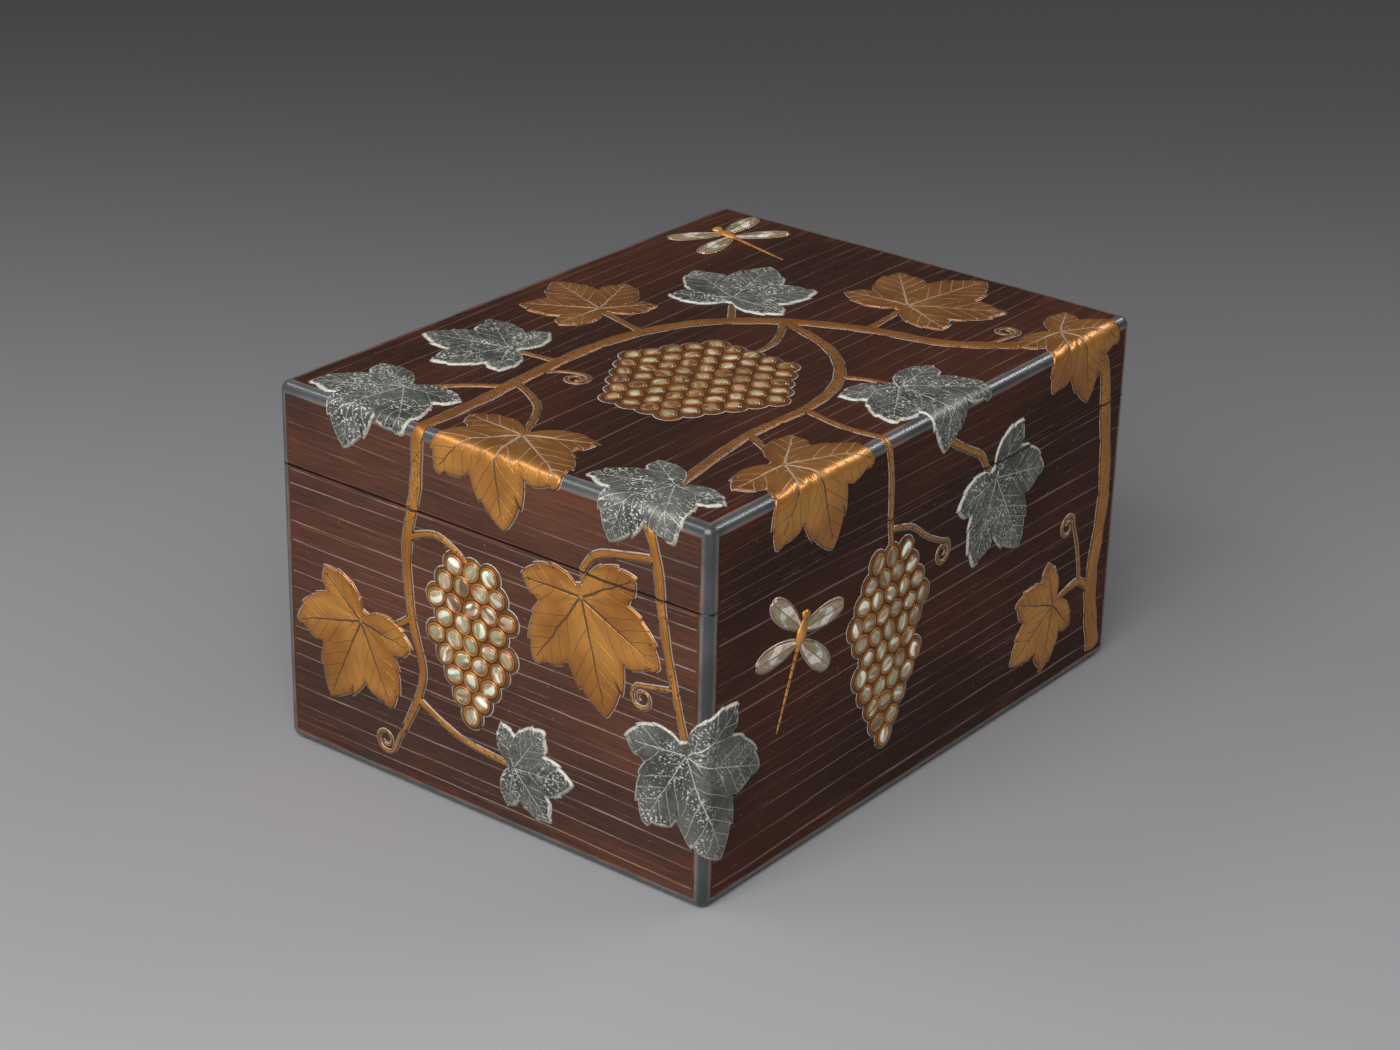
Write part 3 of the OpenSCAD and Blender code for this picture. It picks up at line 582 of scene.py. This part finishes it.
colour = over(scratch * 0.35, colour, (0.5, 0.5, 0.44, 1))
colour = over(rim * 0.85, colour, (0.6, 0.6, 0.52, 1))
colour = over(vein * 0.9, colour, (0.66, 0.66, 0.58, 1))
bared(colour, margin, mm).to(shader, "Base Color")
(on_relief(margin) * (0.5 - flecks * 0.35 - rim * 0.3)).to(shader, "Metallic")
(0.36 + flecks * 0.2 + rim * 0.18 + pits * 0.1).to(shader, "Roughness")
chasing = main_vein * 0.8 + side_vein * 0.3
relief(shader, mist * 0.4 + chasing + flecks * 0.15 - pitted * 0.2, 0.35, 0.8)

pewter_leaves = {
    "pewter_leaf_top_back": ("lid", "front", (*on_top(-0.27, 0.67), 105, middle)),
    "pewter_leaf_top_left": ("lid", "front", (*on_top(-0.57, 0.29), 195, small)),
    "pewter_leaf_left_edge": ("lid", "front", (*on_top(-0.6, 0.08), -100, middle)),
    "pewter_leaf_front_edge": ("lid", "front", (*on_top(0.69, 0.06), -110, small)),
    "pewter_leaf_right_edge": ("lid", "right", (*by_right(0.085, 0.11), -100, middle)),
    "pewter_leaf_front_low": ("box", "front", (*on_front(0.14, 0.235), 5, tiny)),
    "pewter_leaf_corner": ("box", "corner", (0.52 * seam_z, edge_r, 200, large)),
}
for node, (body, canvas, place) in pewter_leaves.items():
    leaf(node, body, canvas, place, pewter)
pewter_seam_leaf = (*right_seam(0.3, -right_leaf_drop), -60, middle)
leaf("pewter_leaf_right_seam_upper", "lid", "right", pewter_seam_leaf, pewter, True)
leaf("pewter_leaf_right_seam_lower", "box", "right", pewter_seam_leaf, pewter, False)

# Vine.
# Half-round stems of gold lacquer, with bark lines drawn along them. The trunk climbs the right wall,
# spreads over the top and hangs down the front, and every stem dips under the leaves that it meets.

all_leaves = [entry[1:] for entry in (*gold_leaves.values(), *pewter_leaves.values())]
all_leaves += [("front", gold_seam_leaf), ("right", pewter_seam_leaf)]
leaf_gap = 0.4


def under_leaf(canvas, along, out):
    """Whether a place on the front or right canvas lies under a leaf of any canvas."""
    seen = {canvas: (along, out)}
    if out >= 0 and canvas == "front":
        seen["right"] = (out + edge_r - box_d / 2, box_w / 2 - edge_r - along)
    elif out >= 0:
        seen["front"] = (box_w / 2 - edge_r - out, along + box_d / 2 - edge_r)
    elif canvas == "front":
        seen["corner"] = (out + turn + box_h - edge_r, box_w / 2 - edge_r - along)
    for leaf_canvas, (x, y, tip, length) in all_leaves:
        if leaf_canvas in seen:
            dx, dy = seen[leaf_canvas][0] - x, seen[leaf_canvas][1] - y
            far = math.hypot(dx, dy) - leaf_gap
            angle = half_turn(math.degrees(math.atan2(dy, dx)) - tip)
            if far < length and far < leaf_reach(angle) * length:
                return True
    return False


def curve_point(points, share):
    """A point on the smooth curve through the given points, and the direction there."""
    spans = len(points) - 1
    i = min(int(share * spans), spans - 1)
    t = share * spans - i
    p, q, r, s = (Vector(points[max(0, min(spans, k))]) for k in (i - 1, i, i + 1, i + 2))
    first, second, third = r - p, 2 * p - 5 * q + 4 * r - s, 3 * q - p - 3 * r + s
    point = 0.5 * (2 * q + first * t + second * t ** 2 + third * t ** 3)
    heading = 0.5 * (first + 2 * second * t + 3 * third * t ** 2)
    return point, heading.normalized()


# Points round a stem: the share of its half width, what is added to that, and the share of its height.
around_stem = [
    (1, halo, 0), (1, 0, 0),
    *[(math.cos(a), 0, math.sin(a) ** 0.7) for a in (math.pi * k / 12 for k in range(1, 12))],
    (-1, 0, 0), (-1, -halo, 0), (-0.5, 0, -1), (0.5, 0, -1), (1, halo, 0)]
stem_step, stem_sunk, stem_up, stem_swell = 1.5, -0.08, 0.45, 0.13
knot, ripple = 0.07, 0.05


def stem(bm, layers, canvas, root, tip, points):
    """A half-round strip along a curve, round at the root and pointed at the tip, sunk under the leaves."""
    length = sum((Vector(b) - Vector(a)).length for a, b in zip(points, points[1:]))
    steps = max(6 * len(points), int(length / stem_step))
    new = bmesh.ops.create_grid(bm, x_segments=steps, y_segments=len(around_stem) - 1, size=0.5)["verts"]
    strip = {}
    for vert in new:
        share = min(1, max(0, vert.co.x + 0.5))
        side, foot, rise = around_stem[round((vert.co.y + 0.5) * (len(around_stem) - 1))]
        point, heading = curve_point(points, share)
        half = (root + (tip - root) * share) / 2 * (1 + knot * math.sin(share * length * 0.31))
        end = min(1, min(share, (1 - share) / 3) * length / half)
        half *= math.sqrt(max(0.02, 1 - (1 - end) ** 2))
        off = half * side + foot
        along, out = point.x - heading.y * off, point.y + heading.x * off
        wave = ripple * math.sin(7 * side + 0.1 * share * length) * (rise > 0.3)
        height = halo_up + (stem_up + stem_swell * half) * rise + wave
        if rise < 0 or under_leaf(canvas, along, out):
            height = stem_sunk
        strip[vert] = (share * length, side)
        vert[layers[1]] = half * (1 - abs(side)) if foot == 0 else -1.0
        vert.co = placed(canvas, along, out, height)
    note_places(layers[0], {face for vert in new for face in vert.link_faces}, strip)
    bmesh.ops.remove_doubles(bm, verts=new, dist=1e-6)


def vine(node, body, stems, keep_upper):
    """Stems as one piece, cut off at the seam."""
    bm = bmesh.new()
    layers = bm.loops.layers.uv.new("vine"), bm.verts.layers.float.new("edge")
    for canvas, root, tip, points in stems:
        stem(bm, layers, canvas, root, tip, points)
    close_holes(bm)
    cut_at_seam(bm, keep_upper)
    piece(node + "_relief", bm, bark, body, [node])


tendril_w, tendril_end_w, curl_r, curl_step, curl_points = 1.8, 0.9, 6.5, 48, 12


def tendril(canvas, lead, middle, start, hand):
    """A thin stem that leaves the vine by its lead points and curls up round a middle point."""
    curl = []
    for i in range(curl_points):
        beside, beyond = polar(curl_r * (1 - 0.7 * i / (curl_points - 1)), start + hand * curl_step * i)
        curl.append((middle[0] + beside, middle[1] + beyond))
    return canvas, tendril_w, tendril_end_w, lead + curl


bark, shader, mm = finish("gold bark lacquer", **gold_gloss)
strip = flat_place(mm, "vine")
margin = carried(mm, "edge")
mist = cloud(mm, 0.04, 4.0)
grooves = rising(cloud(strip, (0.05, 5.0, 0.0), 3.0), 0.56, 0.64)
crackle = 1.0 - rising(abs(cloud(mm, 0.32, 2.0) - 0.5), 0.008, 0.022)
crackle = crackle * rising(mist, 0.45, 0.55)
colour = over(rising(mist, 0.34, 0.66), (0.43, 0.165, 0.028, 1), (0.64, 0.275, 0.052, 1))
# The top's bark takes painted shade here; the grooves and crackle are drawn dark.
colour = over(most(grooves * 0.7, crackle * 0.85), painted_top_shade(colour, mm), (0.045, 0.02, 0.01, 1))
colour = over((1.0 - rising(margin, 0.05, 0.5)) * 0.75, colour, (0.09, 0.036, 0.014, 1))
bared(colour, margin, mm).to(shader, "Base Color")
(on_relief(margin) * (0.7 - grooves * 0.5)).to(shader, "Metallic")
(0.34 + mist * 0.1 + grooves * 0.16).to(shader, "Roughness")
relief(shader, mist * 0.15 - grooves * 0.5 - crackle * 0.5, 0.3, 0.8)

foot_w, trunk_w, stem_w, shoot_w, branch_w, stalk_w, stalk_end_w = 11, 8, 7, 6, 4.6, 3, 2.4
stalk, overrun, lid_mid = (stalk_w, stalk_end_w), 4, 20
vine("lid_vine", "lid", [
    ("front", stem_w, shoot_w, [
        on_top(0.85, 0.794), on_top(0.62, 0.73), on_top(0.32, 0.7), on_top(0.03, 0.645),
        on_top(-0.22, 0.55), on_top(-0.34, 0.41), on_top(-0.34, 0.24), on_top(-0.31, 0.1),
        front_seam(-0.315, lid_mid), front_seam(-0.346, -overrun)]),
    ("front", branch_w, branch_w, [
        on_top(0.03, 0.645), on_top(0.32, 0.6), on_top(0.52, 0.52), on_top(0.61, 0.41),
        on_top(0.61, 0.25), on_top(0.69, 0.065)]),
    ("front", branch_w, branch_w, [
        front_seam(0.73, 33.2), front_seam(0.775, 16), front_seam(0.797, -overrun)]),
    ("front", stalk_w, stalk_w, [
        front_seam(0.775, 17.6), front_seam(0.66, 15.2), front_seam(0.52, 10.8),
        front_seam(0.457, overrun / 2), front_seam(0.453, -overrun)]),
    ("front", *stalk, [on_top(0.32, 0.7), on_top(0.29, 0.82)]),
    ("front", *stalk, [on_top(-0.12, 0.59), on_top(-0.27, 0.67)]),
    ("front", *stalk, [on_top(-0.3, 0.47), on_top(-0.58, 0.5)]),
    ("front", *stalk, [on_top(-0.33, 0.18), on_top(-0.46, 0.14), on_top(-0.6, 0.08)]),
    ("front", *stalk, [on_top(-0.33, 0.2), on_top(-0.12, 0.15), on_top(0.02, 0.055)]),
    ("front", *stalk, [on_top(0.03, 0.645), on_top(0.13, 0.57), on_top(0.15, 0.5)]),
    ("front", *stalk, [on_top(-0.34, 0.3), on_top(-0.57, 0.29)]),
    tendril("front", [on_top(0.74, 0.75)], on_top(0.73, 0.83), -40, 1),
    tendril("front", [on_top(-0.34, 0.245), on_top(-0.28, 0.272)], on_top(-0.19, 0.265), 100, -1),
    ("right", trunk_w, trunk_w, [
        right_seam(0.886, -overrun), right_seam(0.86, lid_mid), right_seam(0.78, 30)]),
    ("right", stem_w, stem_w, [by_right(0.7, 0.03), by_right(0.61, 0.045), by_right(0.54, 0.083)]),
    ("right", stalk_w, stalk_w, [
        by_right(-0.22, 0.18), by_right(-0.25, 0.06), right_seam(-0.217, lid_mid),
        right_seam(-0.213, -overrun)]),
    ("right", *stalk, [by_right(-0.46, 0.18), by_right(-0.565, 0.05)]),
    ("right", *stalk, [by_right(0.04, 0.225), by_right(0.075, 0.17), by_right(0.085, 0.11)]),
    ("right", stalk_w, stalk_w, [
        right_seam(0.036, 26), right_seam(0.135, 16), right_seam(0.22, 8), right_seam(0.255, 0),
        right_seam(0.275, -overrun)]),
], True)
vine("body_vine", "box", [
    ("front", shoot_w, stalk_w, [
        front_seam(-0.335, overrun), on_front(-0.37, 0.84), on_front(-0.35, 0.62), on_front(-0.3, 0.42),
        on_front(-0.4, 0.2)]),
    ("front", *stalk, [on_front(-0.36, 0.9), on_front(-0.22, 0.94), on_front(-0.07, 0.88)]),
    ("front", *stalk, [on_front(-0.35, 0.62), on_front(-0.46, 0.56), on_front(-0.6, 0.54)]),
    ("front", *stalk, [on_front(-0.33, 0.34), on_front(-0.12, 0.26), on_front(0.14, 0.235)]),
    ("front", branch_w, stalk_w, [front_seam(0.786, overrun), on_front(0.83, 0.82), on_front(0.92, 0.52)]),
    ("front", *stalk, [front_seam(0.459, overrun), front_seam(0.45, -front_leaf_drop)]),
    tendril("front", [on_front(0.86, 0.72), on_front(0.81, 0.71)], on_front(0.72, 0.652), 75, 1),
    tendril("front", [on_front(-0.385, 0.23), on_front(-0.42, 0.17)], on_front(-0.49, 0.14), -10, -1),
    ("right", foot_w, trunk_w, [
        on_right(0.92, 0.05), on_right(0.88, 0.32), on_right(0.915, 0.66), right_seam(0.879, overrun)]),
    ("right", *stalk, [right_seam(-0.216, overrun), on_right(-0.2, 0.88)]),
    ("right", branch_w, stalk_end_w, [on_right(0.89, 0.28), on_right(0.8, 0.36), on_right(0.66, 0.33)]),
    ("right", *stalk, [
        right_seam(0.235, overrun), right_seam(0.255, 0), right_seam(0.3, -right_leaf_drop)]),
    tendril("right", [on_right(-0.21, 0.965), on_right(-0.11, 0.935), on_right(-0.03, 0.87)],
            on_right(0.05, 0.78), 100, -1),
    tendril("right", [on_right(0.81, 0.36), on_right(0.79, 0.48)], on_right(0.72, 0.6), -15, 1),
], False)

# Grapes.
# Each bunch is a bed of gold lacquer with a raised ring for every grape, and in each ring sits a domed
# piece of mother-of-pearl, cut from the shell so that no two catch the light alike, with pale streaks
# painted on as highlights. The top's have a yellower tint and weaker painted highlights: painted shade.

grape_pitch = 10.4
bunches = {
    "top": ("lid", "front", on_top(0.15, 0.5), (5, 6, 7, 8, 9, 8, 7, 6, 5, 4), 3.5),
    "front": ("box", "front", on_front(-0.06, 0.86), (3, 4, 5, 4, 5, 4, 3, 2, 1), 4.1),
    "right": ("box", "right", on_right(-0.2, 0.87), (3, 4, 5, 6, 5, 4, 5, 4, 3, 2, 1), 4.1),
}

bed, shader, mm = finish("gold bed lacquer", **gold_gloss)
margin = carried(mm, "edge")
mist = cloud(mm, 0.05, 4.0)
worn = rising(cloud(mm, 0.4, 4.0), 0.5, 0.66)
colour = over(rising(mist, 0.34, 0.66), (0.4, 0.145, 0.026, 1), (0.62, 0.26, 0.05, 1))
# Worn patches, and painted shade on the top's bed.
colour = over(worn * 0.35, painted_top_shade(colour, mm), (0.17, 0.05, 0.014, 1))
colour = over(1.0 - rising(margin, 0.1, 0.75), colour, (0.04, 0.017, 0.009, 1))
bared(colour, margin, mm).to(shader, "Base Color")
(on_relief(margin) * (0.7 - worn * 0.25)).to(shader, "Metallic")
(0.34 + mist * 0.1 + worn * 0.1).to(shader, "Roughness")
relief(shader, mist * 0.2 - worn * 0.15, 0.25, 0.7)

# Places on the ramp of shell colours, each with its red, green and blue.
pearl_bands = (
    (0.0, 0.1, 0.052, 0.018), (0.2, 0.22, 0.135, 0.055), (0.36, 0.33, 0.255, 0.13),
    (0.48, 0.2, 0.25, 0.13), (0.6, 0.44, 0.39, 0.25), (0.72, 0.42, 0.22, 0.15),
    (0.84, 0.38, 0.28, 0.14), (1.0, 0.16, 0.085, 0.032))
pearl_gloss = {"Coat_Weight": 0.9, "Coat_Roughness": 0.07, "Coat_IOR": 1.8, "Specular_IOR_Level": 0.6}


def pearl_colour(cut, along, across, shift, tint, painted_gleam):
    """Bands of shell colour on a piece's own flat coordinates, toned down by a tint, with pale streaks
    painted over them as highlights.
    """
    bands = cloud(cut, (along, across, 1.0), 1.2)
    stops = [(place, [light * share for light, share in zip(rgb, tint)] + [1])
             for place, *rgb in pearl_bands]
    colour = bands.node("ShaderNodeValToRGB", {"stops": stops}, {0: (bands - 0.5) * 2.0 + shift})
    hue = rising(cloud(cut, (along * 0.6, across * 0.5, 1.0), 1.0), 0.42, 0.58)
    pale = over(hue, (0.74, 0.9, 0.72, 1), (1.0, 0.9, 0.79, 1))
    # Painted highlight: pale streaks laid into the shell's colour, as strong as the strength passed in.
    painted_highlight = rising(cloud(cut, (along * 1.2, across * 0.9, 1.0), 1.0), 0.5, 0.64)
    return bands, over(painted_highlight * painted_gleam, colour, pale)


def pearl_grapes(name, tint, painted_gleam):
    """Shell for a bunch, in which each grape has its own tone and cut."""
    material, shader, mm = finish(name, **pearl_gloss)
    tone = carried(mm, "tone")
    margin = carried(mm, "edge")
    cut = flat_place(mm, "shell")
    # Each grape's painted highlight is scaled by its own tone.
    bands, colour = pearl_colour(cut, 0.3, 0.9, 0.1 + tone * 0.7, tint, (0.35 + 0.65 * tone) * painted_gleam)
    over((1.0 - rising(margin, 0.0, 0.8)) * 0.9, colour, (0.1, 0.05, 0.02, 1)).to(shader, "Base Color")
    (0.14 + bands * 0.16).to(shader, "Roughness")
    relief(shader, bands, 0.2, 0.4)
    return material


# Painted shade: the top's shells get a yellower tint and a third of the painted highlight.
shaded_top_pearl = pearl_grapes("shaded top mother-of-pearl", (1.05, 0.95, 0.8), 0.3)
wall_pearl = pearl_grapes("mother-of-pearl", (1.0, 1.0, 1.0), 1.0)

# How far each ring of a setting stands outside its shell, its height, and how bare of dark filling it is.
# The rings of the bed's edge are measured from the middle between three grapes instead.
setting = (
    (-1.6, 0.3, 0.0), (-0.35, 0.3, 0.0), (-0.1, 0.75, 0.4), (0.3, 1.0, 1.0), (0.75, 0.95, 1.0),
    (1.1, 0.6, 0.2), (1.3, 0.4, 0.3))
bed_edge = ((0, 0.3, 0.5), (0.4, 0.02, 0.0), (0.4 + halo, 0.015, -1.0), (0.4 + halo, sunk, -1.0))
between = grape_pitch / math.sqrt(3)
# Each grape's own lots, from 0 to 1, are what is left of a sine made this much larger.
scatter, scatter_seeds = 43758.5453, (12.9898, 78.233, 39.425)
# A shell's height at its edge, its dome over that, its tilt and its foot, and its place in the bands.
shell_up, shell_dome, shell_tilt, shell_foot = 0.5, 0.95, 0.14, 0.1
cut_size, cut_along, cut_across = 4, 7.3, 3.1
grape_spokes = 18
ring_blank = lathe([(1, level) for level in range(len(setting) + len(bed_edge))], grape_spokes)
dome = [(math.sin(a), math.cos(a)) for a in (math.pi / 12 * k for k in range(7))]
shell_blank = lathe(dome + [(1, -1)], grape_spokes)

for bunch, (body, canvas, (x, y), rows, shell_r) in bunches.items():
    spots = [(x + (k - (count - 1) / 2) * grape_pitch, y - i * grape_pitch * math.sqrt(3) / 2)
             for i, count in enumerate(rows) for k in range(count)]
    rings, shells = bmesh.new(), bmesh.new()
    ring_edge = rings.verts.layers.float.new("edge")
    shell_edge, shell_tone = (shells.verts.layers.float.new(layer) for layer in ("edge", "tone"))
    shell_uv = shells.loops.layers.uv.new("shell")
    for number, (along, out) in enumerate(spots):
        lots = [math.sin(number * seed + len(spots)) * scatter % 1 for seed in scatter_seeds]
        along, out = along + lots[1] - 0.5, out + lots[2] - 0.5
        lean = lots[0] * math.pi
        wide, narrow = shell_r * (1 + 0.1 * lots[1]), shell_r * (0.8 + 0.14 * lots[2])

        def oval(angle):
            return 1 / math.hypot(math.cos(angle - lean) / wide, math.sin(angle - lean) / narrow)

        done = len(rings.verts)
        rings.from_mesh(ring_blank)
        rings.verts.ensure_lookup_table()
        for vert in rings.verts[done:]:
            angle, level = math.atan2(vert.co.y, vert.co.x), round(vert.co.z)
            if level < len(setting):
                beyond, height, bare = setting[level]
                far = oval(angle) + beyond
            else:
                beyond, height, bare = bed_edge[level - len(setting)]
                far = between + beyond
            vert[ring_edge] = bare
            vert.co = placed(canvas, along + far * math.cos(angle), out + far * math.sin(angle), height)
        done, faces_done = len(shells.verts), len(shells.faces)
        shells.from_mesh(shell_blank)
        shells.verts.ensure_lookup_table()
        shells.faces.ensure_lookup_table()
        cuts = {}
        for vert in shells.verts[done:]:
            angle, share = math.atan2(vert.co.y, vert.co.x), math.hypot(vert.co.x, vert.co.y)
            far, rise = share * oval(angle), vert.co.z
            run, off = far * math.cos(angle - lean), far * math.sin(angle - lean)
            cuts[vert] = (run / cut_size + number * cut_along, off / cut_size + number * cut_across)
            tilt = shell_tilt * share * math.cos(angle - 6.28 * lots[2])
            on_dome = rise > -0.5
            height = shell_up + tilt + shell_dome * rise if on_dome else shell_foot
            vert[shell_edge] = (1 - share) * shell_r if on_dome else 0.0
            vert[shell_tone] = lots[1]
            vert.co = placed(canvas, along + far * math.cos(angle), out + far * math.sin(angle), height)
        note_places(shell_uv, shells.faces[faces_done:], cuts)
    piece(bunch + "_grape_bed_relief", rings, bed, body, [bunch + "_grape_bed"])
    shell = shaded_top_pearl if bunch == "top" else wall_pearl
    piece(bunch + "_grapes_relief", shells, shell, body, [bunch + "_grapes"])

# Dragonflies.
# The bodies are gold lacquer, raised and banded. The four wings are slips of mother-of-pearl with
# gold rims and drawn veins, let in beside the body.

fly_length, bands_per_length = 57, 14.3
flies = {
    "top": ("lid", "front", on_top(-0.66, 0.89), 165),
    "right": ("box", "right", on_right(-0.63, 0.7), 70),
}
# Parts of the body, as shares of its length.
head_end, chest_end, segment, tip_start = 0.08, 0.3, 0.07, 0.999
head_half, waist_half, chest_swell, tail_fall, segment_swell = 0.055, 0.02, 0.04, 0.012, 0.16


def fly_half_width(share):
    """Half the width of a dragonfly's body at a share of its length from the head."""
    if share < head_end:
        return head_half * math.sqrt(max(0, 1 - (share / (head_end / 2) - 1) ** 2))
    if share < chest_end:
        return waist_half + chest_swell * math.sin(math.pi * (share - head_end) / (chest_end - head_end))
    swell = 1 + segment_swell * abs(math.sin(math.pi * (share - chest_end) / segment))
    taper = waist_half - tail_fall * (share - chest_end) / (1 - chest_end)
    return taper * swell * (share < tip_start)


fly_steps, fly_spokes, wing_steps = 84, 16, 30
fly_profile = [(i / fly_steps, max(1e-4, fly_half_width(i / fly_steps))) for i in range(fly_steps + 1)]
fly_blank = lathe(fly_profile, fly_spokes, (1, 0, 0))
insect, shader, mm = finish("banded gold lacquer", Coat_Weight=0.3, Coat_Roughness=0.15)
band = carried(mm, "band")
mist = cloud(mm, 0.12, 3.0)
ring = rising(abs(band.math("FRACT", band) - 0.5), 0.36, 0.46)
colour = over(rising(mist, 0.35, 0.65), (0.48, 0.19, 0.035, 1), (0.76, 0.36, 0.075, 1))
over(ring * 0.85, colour, (0.07, 0.025, 0.012, 1)).to(shader, "Base Color")
(0.55 - ring * 0.3).to(shader, "Metallic")
(0.28 + mist * 0.15).to(shader, "Roughness")
relief(shader, mist * 0.4 - ring * 0.5, 0.25, 0.7)

wing, shader, mm = finish("shell wing", **pearl_gloss)
flat = flat_place(mm, "wing")
margin = carried(mm, "edge")
# The wing's shell carries painted highlights too.
bands, colour = pearl_colour(flat, 2.2, 0.8, 0.5, (1.0, 1.0, 1.0), 0.9)
cells = mm.node("ShaderNodeTexVoronoi", {"feature": "DISTANCE_TO_EDGE", "voronoi_dimensions": "2D"},
                {"Vector": flat, "Scale": 5.0})
rim = 1.0 - rising(margin, 0.35, 0.6)
midrib = 1.0 - rising(abs(part(flat, 1)), 0.04, 0.1)
lines = most((1.0 - rising(cells, 0.02, 0.06)) * 0.7, rim, midrib)
colour = over(lines * 0.85, colour, (0.36, 0.14, 0.03, 1))
bared(colour, margin, mm).to(shader, "Base Color")
(on_relief(margin) * lines * 0.6).to(shader, "Metallic")
(0.16 + bands * 0.14 + lines * 0.14).to(shader, "Roughness")
relief(shader, bands * 0.5 + lines * 0.6, 0.2, 0.6)

# Points across a wing, as round a stem.
across_wing = [
    (1, halo, 0), (1, 0, 0.05),
    *[(side, 0, (1 - side ** 4) ** 0.5) for side in (0.92, 0.75, 0.5, 0.25, 0, -0.25, -0.5, -0.75, -0.92)],
    (-1, 0, 0.05), (-1, -halo, 0), (0, 0, -1), (1, halo, 0)]
# Where each wing is joined on, as a share of the length ahead of the middle, and its direction.
wing_roots = ((0.24, 68), (0.24, -68), (0.14, 112), (0.14, -112))
fly_middle, fly_up, fly_flat = 0.4, 0.15, 0.5
wing_start, wing_long, wing_half, wing_up = 0.03, 0.5, 0.075, 0.6

for fly, (body, canvas, (x, y), heading) in flies.items():
    turned = Matrix.Rotation(math.radians(heading), 2)

    def on_box(along, out, height):
        spot = turned @ Vector((along, out))
        return placed(canvas, x + spot.x, y + spot.y, height)

    bm = bmesh.new()
    bm.from_mesh(fly_blank)
    band = bm.verts.layers.float.new("band")
    for vert in bm.verts:
        vert[band] = vert.co.x * bands_per_length if vert.co.x > chest_end else 0.5
        vert.co = on_box((fly_middle - vert.co.x) * fly_length, vert.co.y * fly_length,
                         max(sunk, fly_up + vert.co.z * fly_length * fly_flat))
    close_holes(bm)
    piece(fly + "_dragonfly_body_relief", bm, insect, body, [fly + "_dragonfly_body"])

    bm = bmesh.new()
    layer, edge = bm.loops.layers.uv.new("wing"), bm.verts.layers.float.new("edge")
    for root, angle in wing_roots:
        grid = bmesh.ops.create_grid(bm, x_segments=wing_steps, y_segments=len(across_wing) - 1, size=0.5)
        new = grid["verts"]
        spread = Matrix.Rotation(math.radians(angle), 2)
        strip = {}
        for vert in new:
            share = (1 - math.cos(math.pi * min(1, max(0, vert.co.x + 0.5)))) / 2
            side, foot, rise = across_wing[round((vert.co.y + 0.5) * (len(across_wing) - 1))]
            cosine = 1 - 2 * share
            half = wing_half * math.sqrt(max(0, 1 - cosine ** 2)) * (1.15 - 0.3 * cosine) * fly_length
            strip[vert] = (share, side)
            reach = (wing_start + wing_long * share) * fly_length - foot * side * cosine
            spot = spread @ Vector((reach, half * side + foot))
            height = halo_up + wing_up * rise * min(1, half) if rise >= 0 else sunk
            vert[edge] = -1.0 if foot else half * (1 - abs(side))
            vert.co = on_box(root * fly_length + spot.x, spot.y, height)
        note_places(layer, {face for vert in new for face in vert.link_faces}, strip)
        bmesh.ops.remove_doubles(bm, verts=new, dist=1e-6)
    piece(fly + "_dragonfly_wings_relief", bm, wing, body, [fly + "_dragonfly_wings"])

# Studio.
# A grey floor whose colour darkens away from the camera as painted shade, a large soft light high in
# front, and two strips that shine along the front and right arrises, seen through a long lens from the
# front right.

bm = bmesh.new()
bmesh.ops.create_grid(bm, x_segments=1, y_segments=1, size=6.0)
mesh = into_mesh(bm, "floor")
floor = into_scene(mesh, "floor")
material, shader, mm = finish("grey paper", Roughness=0.9, Specular_IOR_Level=0.2)
# Painted shade: the floor's grey darkens with depth from the camera.
depth = part(mm, 1) * 0.88 - part(mm, 0) * 0.49
near_grey, far_grey = (0.325, 0.32, 0.328, 1), (0.092, 0.089, 0.094, 1)
over(rising(depth, -750.0, 1250.0), near_grey, far_grey).to(shader, "Base Color")
mesh.materials.append(material)

world = bpy.data.worlds.new("studio")
world.use_nodes = True
sky = Wire(world.node_tree, world.node_tree.nodes.new("ShaderNodeTexCoord").outputs["Generated"])
facing = sky.node("ShaderNodeVectorMath", {"operation": "DOT_PRODUCT"},
                  {0: sky, 1: (0.0, -0.9, 0.44)}, "Value")
glow = over(rising(facing, -0.6, 0.9), (0.08, 0.08, 0.083, 1), (0.32, 0.32, 0.325, 1))
glow.to(world.node_tree.nodes["Background"], "Color")
bpy.context.scene.world = world


def softbox(name, direction, distance, width, height, power):
    """A rectangular light that faces the box from a direction."""
    lamp = bpy.data.lights.new(name, "AREA")
    lamp.shape = "RECTANGLE"
    lamp.size, lamp.size_y, lamp.energy = width, height, power
    made = into_scene(lamp, name)
    made.location = Vector(direction).normalized() * distance + Vector((0, 0, 0.1))
    made.rotation_euler = Vector(direction).to_track_quat("Z", "Y").to_euler()


softbox("key", (0.24, -0.8, 0.68), 1.8, 1.6, 1.1, 38)
softbox("left", (-0.55, -0.42, 0.72), 1.7, 1.0, 0.16, 5)
softbox("back", (0.42, 0.72, 0.62), 1.7, 1.2, 0.08, 8)

# The camera fitted to the photo, with its focal length in pixels of a photo of that width.
azimuth, elevation, roll = math.radians(37.689), math.radians(24.461), math.radians(1.306)
focal_px, photo_px, camera_place = 3133.287, 1400, (0.831688, -1.087746, 0.712855)
level = math.cos(elevation)
back = Vector((math.sin(azimuth) * level, -math.cos(azimuth) * level, math.sin(elevation)))
right = Vector((math.cos(azimuth), math.sin(azimuth), 0))
up = back.cross(right)
across = right * math.cos(roll) + up * math.sin(roll)
upward = up * math.cos(roll) - right * math.sin(roll)
lens = bpy.data.cameras.new("camera")
lens.sensor_width = 36.0
lens.lens = lens.sensor_width * focal_px / photo_px
camera = into_scene(lens, "camera")
axes = Matrix((across, upward, back)).transposed().to_4x4()
camera.matrix_world = Matrix.Translation(camera_place) @ axes
bpy.context.scene.camera = camera
bpy.context.scene.view_settings.view_transform = "Standard"
